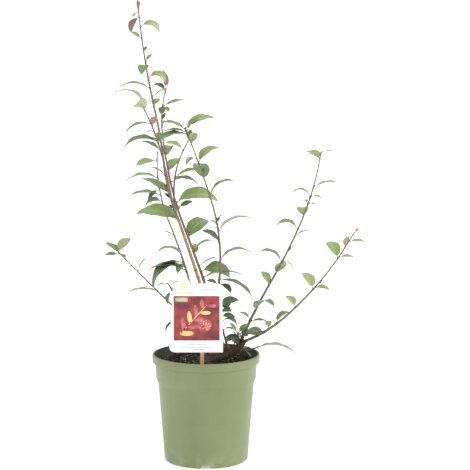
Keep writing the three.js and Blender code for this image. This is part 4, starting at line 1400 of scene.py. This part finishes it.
def leafPaint(name, colour, gloss, veinShade):
    paint = Paint(name, colour, gloss, Specular_IOR_Level=0.5)
    bladeMap = paint.node("ShaderNodeUVMap", {"uv_map": "blade_map"}, {})
    split = paint.node("ShaderNodeSeparateXYZ", {}, {"Vector": bladeMap}, "X")
    lengthwise = Wire(paint, split.socket.node.outputs["Y"])
    across = (split * 2 - 1).size()
    veinPhase = (lengthwise * blade["veins"] - across * blade["veinSlant"]).fraction()
    vein = paint.band((veinPhase - 0.5).size(), 0.4, 0.5) * paint.band(across, 1, 0.55)
    midrib = paint.band(across, 0.1, 0.03)
    # Painted shade: a band along the blade's edges, used below to darken them.
    shadedEdge = paint.band(across, 0.86, 1)
    mottle = paint.noise(paint.place(), 160, 4, 0.6)
    pale = tuple(min(1, part * 1.5 + 0.07) for part in colour)
    dark = tuple(part * 0.6 for part in colour)
    tone = paint.mix(paint.band(mottle, 0.35, 0.7, 0, 0.35), colour, dark)
    # Darker along the edges: painted shade on the leaf margins.
    tone = paint.mix(shadedEdge * 0.55, tone, dark)
    tone = paint.mix(vein * veinShade, tone, pale)
    paint.feed("Base Color", paint.mix(midrib * 0.8, tone, pale))
    paint.feed("Roughness", paint.band(mottle, 0.3, 0.7, gloss - 0.05, gloss + 0.1))
    paint.bump(mottle * 0.3 - vein * 0.5 - midrib, 0.00025)
    return paint


def leafPaints():
    paints = [leafPaint("leaf_" + name, upperTints[name], blade["gloss"], 0.3) for name in tintNames]
    paints += [leafPaint("underleaf_" + name, underTints[name], blade["underGloss"], 0.4)
               for name in tintNames]
    stalk = Paint("leaf_stalk", stalkTint, 0.5)
    blush = stalk.noise(stalk.place(), 220, 3)
    stalk.feed("Base Color", stalk.mix(stalk.band(blush, 0.4, 0.65), stalkTint, stalkBlush))
    return [*paints, stalk]


# A flat blade of rows and columns, from -1 to 1 both ways, that every leaf is shaped from
def bladePattern():
    deselectAll()
    bpy.ops.mesh.primitive_grid_add(x_subdivisions=blade["across"], y_subdivisions=blade["stations"], size=2)
    points, faces = takeShape()
    return points[:, :2], faces


# The upper face of one leaf, with a toothed edge, a round keel, pressed veins and a wavy margin.
# Teeth, veins and waves fade out towards both ends.
def shapeBlade(leaf, pattern, phase):
    across = pattern[:, 0]
    share = (pattern[:, 1] + 1) / 2
    start = leaf["petiole"] * 0.85
    s = start + (1 - start) * share
    half = halfWidth(leaf, s)
    inner = np.clip((share - 0.12) / 0.1, 0, 1) * np.clip((0.97 - share) / 0.05, 0, 1)
    row = np.round(share * blade["stations"])
    tooth = blade["tooth"] * inner * (row % 2) * (np.abs(across) > 0.99)
    width = across * (1 - tooth / np.maximum(half, 0.5))
    sideways = np.abs(width) * half
    fold = math.sin(leaf["fold"])
    keel = (np.sqrt(sideways ** 2 + blade["keel"] ** 2) - blade["keel"] - sideways) * fold
    recurve = -blade["recurve"] * half * np.abs(width) ** 4
    veinPhase = blade["veins"] * share - np.abs(across) * blade["veinSlant"]
    groove = np.exp(-(np.sin(math.pi * veinPhase) / 0.4) ** 2) * inner * (1 - width ** 4)
    size = leaf["length"] / blade["usual"]
    wave = blade["waves"] * share + phase + 0.25 * np.sign(across)
    ripple = blade["ripple"] * size * np.sin(2 * math.pi * wave)
    lift = keel + recurve - blade["quilt"] * size * groove + ripple * width ** 2 * inner
    return leafPoints(leaf, s, width, lift)


# The stalk, running on under the blade as its raised midrib
def stalkTube(leaf):
    petiole = leaf["petiole"]
    slim = min(1, 0.6 + leaf["length"] / 100)
    rings = []  # share of the leaf's length, radius, and drop below the upper face
    for i in range(blade["stalkRings"] + 1):
        share = i / blade["stalkRings"]
        rings.append((petiole * share, between(blade["stalk"], share), blade["stalkDrop"] * share))
    for i in range(1, blade["midribRings"] + 1):
        share = i / blade["midribRings"]
        rings.append((petiole + (blade["midribEnd"] - petiole) * share, between(blade["midrib"], share),
                      blade["thickness"] * blade["midribDrop"]))
    points = []
    for s, radius, drop in rings:
        middle, side, normal = leafFrame(leaf, s)
        for j in range(blade["stalkSides"]):
            turn = 2 * math.pi * j / blade["stalkSides"]
            out = side * math.cos(turn) + normal * math.sin(turn)
            points.append(middle - normal * drop + out * radius * slim)
    return points, tubeFaces(len(rings) - 1, blade["stalkSides"])


# A place on the midline, with the blade's sideways and upward directions there
def leafFrame(leaf, s):
    middle, lifted, ahead = leafPoints(leaf, [s, s, s + 1e-4], [0, 0, 0], [0, 1, 0])
    normal = lifted - middle
    forward = ahead - middle
    forward /= np.linalg.norm(forward)
    return middle, np.cross(forward, normal), normal


def makeLeaves(paints):
    pattern, patternFaces = bladePattern()
    dealer = random.Random(blade["seed"])
    for mass in masses:
        points = []
        faces = []
        tints = []
        stalks = []
        stalkFaces = []
        for shoot in shoots:
            if "foliage_" + shoot["mass"] != mass:
                continue
            for leaf in shoot["leaves"]:
                family = tintShares[leaf["tint"]]
                tint = tintNames.index(dealer.choices(list(family), list(family.values()))[0])
                faces += shifted(patternFaces, len(points) * len(pattern))
                points.append(shapeBlade(leaf, pattern, dealer.random()))
                tints += [tint] * len(patternFaces)
                tubePoints, facesOfTube = stalkTube(leaf)
                stalkFaces += shifted(facesOfTube, len(stalks))
                stalks += tubePoints
        blades = meshFromArrays("blades", np.concatenate(points) * mm, faces, tints, paints)
        storeMap(blades, np.tile((pattern + 1) / 2, (len(points), 1)))
        editAll(blades)
        bpy.ops.mesh.remove_doubles(threshold=0.01 * mm)
        bpy.ops.object.mode_set(mode="OBJECT")
        applyModifier(blades, "SOLIDIFY", "thick", thickness=blade["thickness"] * mm, offset=-1,
                      material_offset=len(tintNames), material_offset_rim=len(tintNames))
        tubes = meshFromArrays("stalks", np.array(stalks) * mm, stalkFaces,
                               [len(paints) - 1] * len(stalkFaces), paints)
        storeMap(tubes, np.full((len(stalks), 2), 0.5))
        piece = joinPieces([blades, tubes])
        finishPiece(piece, mass.replace("foliage", "leaves"), [mass], 50)


# Each corner of a face takes its point's place on the blade
def storeMap(piece, places):
    corners = np.empty(len(piece.data.loops), int)
    piece.data.loops.foreach_get("vertex_index", corners)
    layer = piece.data.uv_layers.new(name="blade_map")
    layer.data.foreach_set("uv", places[corners].ravel())


# Buds

bud = {
    "segments": 8, "rings": 6, "seed": 9, "axil": (2.4, 3.8), "axilSlim": 0.27, "axilUp": 2, "axilOut": 0.6,
    "tip": (4.2, 5.5), "tipSlim": 0.26, "furledRadius": 2.3, "furledMiddle": 0.42,
    "flower": 9, "flowerRadius": 2.1, "flowerLean": 38, "flowerOff": (3, -1, 3),
    "green": (0.17, 0.16, 0.07), "scale": (0.1, 0.055, 0.035), "red": (0.26, 0.1, 0.09),
}


def budPaint(name, colour, other):
    paint = Paint(name, colour, 0.5)
    tone = paint.noise(paint.place(), 350, 3)
    paint.feed("Base Color", paint.mix(paint.band(tone, 0.4, 0.6), colour, other))
    paint.bump(tone, 0.0002)
    return paint


def makeBuds():
    dealer = random.Random(bud["seed"])
    deselectAll()
    bpy.ops.mesh.primitive_uv_sphere_add(segments=bud["segments"], ring_count=bud["rings"], radius=1)
    shape, shapeFaces = takeShape()
    turn = np.arctan2(shape[:, 1], shape[:, 0])
    pointed = (1 - np.clip(shape[:, 2], 0, 1)) ** 0.25 * (1 + 0.1 * np.sin(3 * turn + 4 * shape[:, 2]))
    shape[:, :2] *= pointed[:, None]
    points = []
    faces = []
    marks = []

    def addBud(place, aim, length, radius, mark=0):
        aim = aim / np.linalg.norm(aim)
        side = np.cross(aim, (0, 1, 0) if abs(aim[1]) < 0.8 else (1, 0, 0))
        side /= np.linalg.norm(side)
        third = np.cross(aim, side)
        local = shape * (radius, radius, length / 2)
        faces.extend(shifted(shapeFaces, len(points) * len(shape)))
        points.append(place + local @ np.array([side, third, aim]))
        marks.extend([mark] * len(shapeFaces))

    for shoot in shoots:
        for leaf in shoot["leaves"]:
            out = np.array([math.cos(leaf["azimuth"]), math.sin(leaf["azimuth"]), 0])
            length = dealer.uniform(*bud["axil"])
            place = leaf["root"] + out * leaf["stem"] + leaf["forward"] * bud["axilUp"]
            addBud(place, out * bud["axilOut"] + leaf["forward"], length, length * bud["axilSlim"])
        length = dealer.uniform(*bud["tip"])
        addBud(along(shoot, 1), heading(shoot, 1), length, length * bud["tipSlim"])
        if "furled" in shoot:
            middle = along(shoot, 1) + heading(shoot, 1) * shoot["furled"] * bud["furledMiddle"]
            addBud(middle, heading(shoot, 1), shoot["furled"], bud["furledRadius"], 1)
        for share in shoot.get("buds", []):
            lean = bud["flowerLean"] * degree
            place = along(shoot, share) + np.array(bud["flowerOff"])
            addBud(place, np.array([math.sin(lean), 0, math.cos(lean)]), bud["flower"], bud["flowerRadius"])
    paints = [
        budPaint("bud_scales", bud["green"], bud["scale"]),
        budPaint("furled_young_leaf", upperTints["young"], bud["red"]),
    ]
    piece = meshFromArrays("buds", np.concatenate(points) * mm, faces, marks, paints)
    outwardNormals(piece)
    finishPiece(piece, "buds", masses, 60)


# Floor, light and camera

studio = {
    "floorSize": 60, "floor": (0.92, 0.92, 0.92), "floorGlow": 0.35, "sky": 0.95,
    "keyFrom": (72, 30), "key": 1.6, "keySoft": 50, "fillFrom": (-75, 30), "fill": 0.6, "fillSoft": 60,
    "camera": (46, -3200, 852.2), "pitch": 8.708, "focalPixels": 2055, "framePixels": 470, "sensor": 36,
}


# A sun for studio light from a side and height, in degrees, seen from the camera
def softLight(name, side, height, strength, softness):
    light = bpy.data.lights.new(name, "SUN")
    light.energy = strength
    light.angle = softness * degree
    lamp = bpy.data.objects.new(name, light)
    lamp.rotation_euler = ((90 - height) * degree, 0, side * degree)
    bpy.context.scene.collection.objects.link(lamp)


def makeStudio():
    deselectAll()
    bpy.ops.mesh.primitive_plane_add(size=studio["floorSize"])
    floor = bpy.context.object
    floor.name = "floor"
    paint = Paint("pale_floor", studio["floor"], 0.9, Emission_Strength=studio["floorGlow"])
    paint.surface.inputs["Emission Color"].default_value = (1, 1, 1, 1)
    paint.feed("Roughness", paint.band(paint.noise(paint.place(), 3, 2), 0.3, 0.7, 0.85, 0.95))
    floor.data.materials.append(paint.material)
    world = bpy.data.worlds.new("studio")
    bpy.context.scene.world = world
    world.use_nodes = True
    backdrop = world.node_tree.nodes["Background"]
    backdrop.inputs["Color"].default_value = (1, 1, 1, 1)
    backdrop.inputs["Strength"].default_value = studio["sky"]
    softLight("key", *studio["keyFrom"], studio["key"], studio["keySoft"])
    softLight("fill", *studio["fillFrom"], studio["fill"], studio["fillSoft"])
    bpy.context.scene.view_settings.view_transform = "Standard"


def makeCamera():
    lens = bpy.data.cameras.new("camera")
    lens.sensor_width = studio["sensor"]
    lens.lens = studio["focalPixels"] / studio["framePixels"] * studio["sensor"]
    lens.clip_end = 200
    camera = bpy.data.objects.new("camera", lens)
    camera.location = Vector(studio["camera"]) * mm
    camera.rotation_euler = ((90 - studio["pitch"]) * degree, 0, 0)
    bpy.context.scene.collection.objects.link(camera)
    bpy.context.scene.camera = camera


makeCamera()
makeStudio()
makePot()
makeCompost()
makeCompostBits()
makeCard()
makeStick()
barkFinish = barkPaint()
makeWood(barkFinish)
makeTwigs(barkFinish)
makeLeaves(leafPaints())
makeBuds()
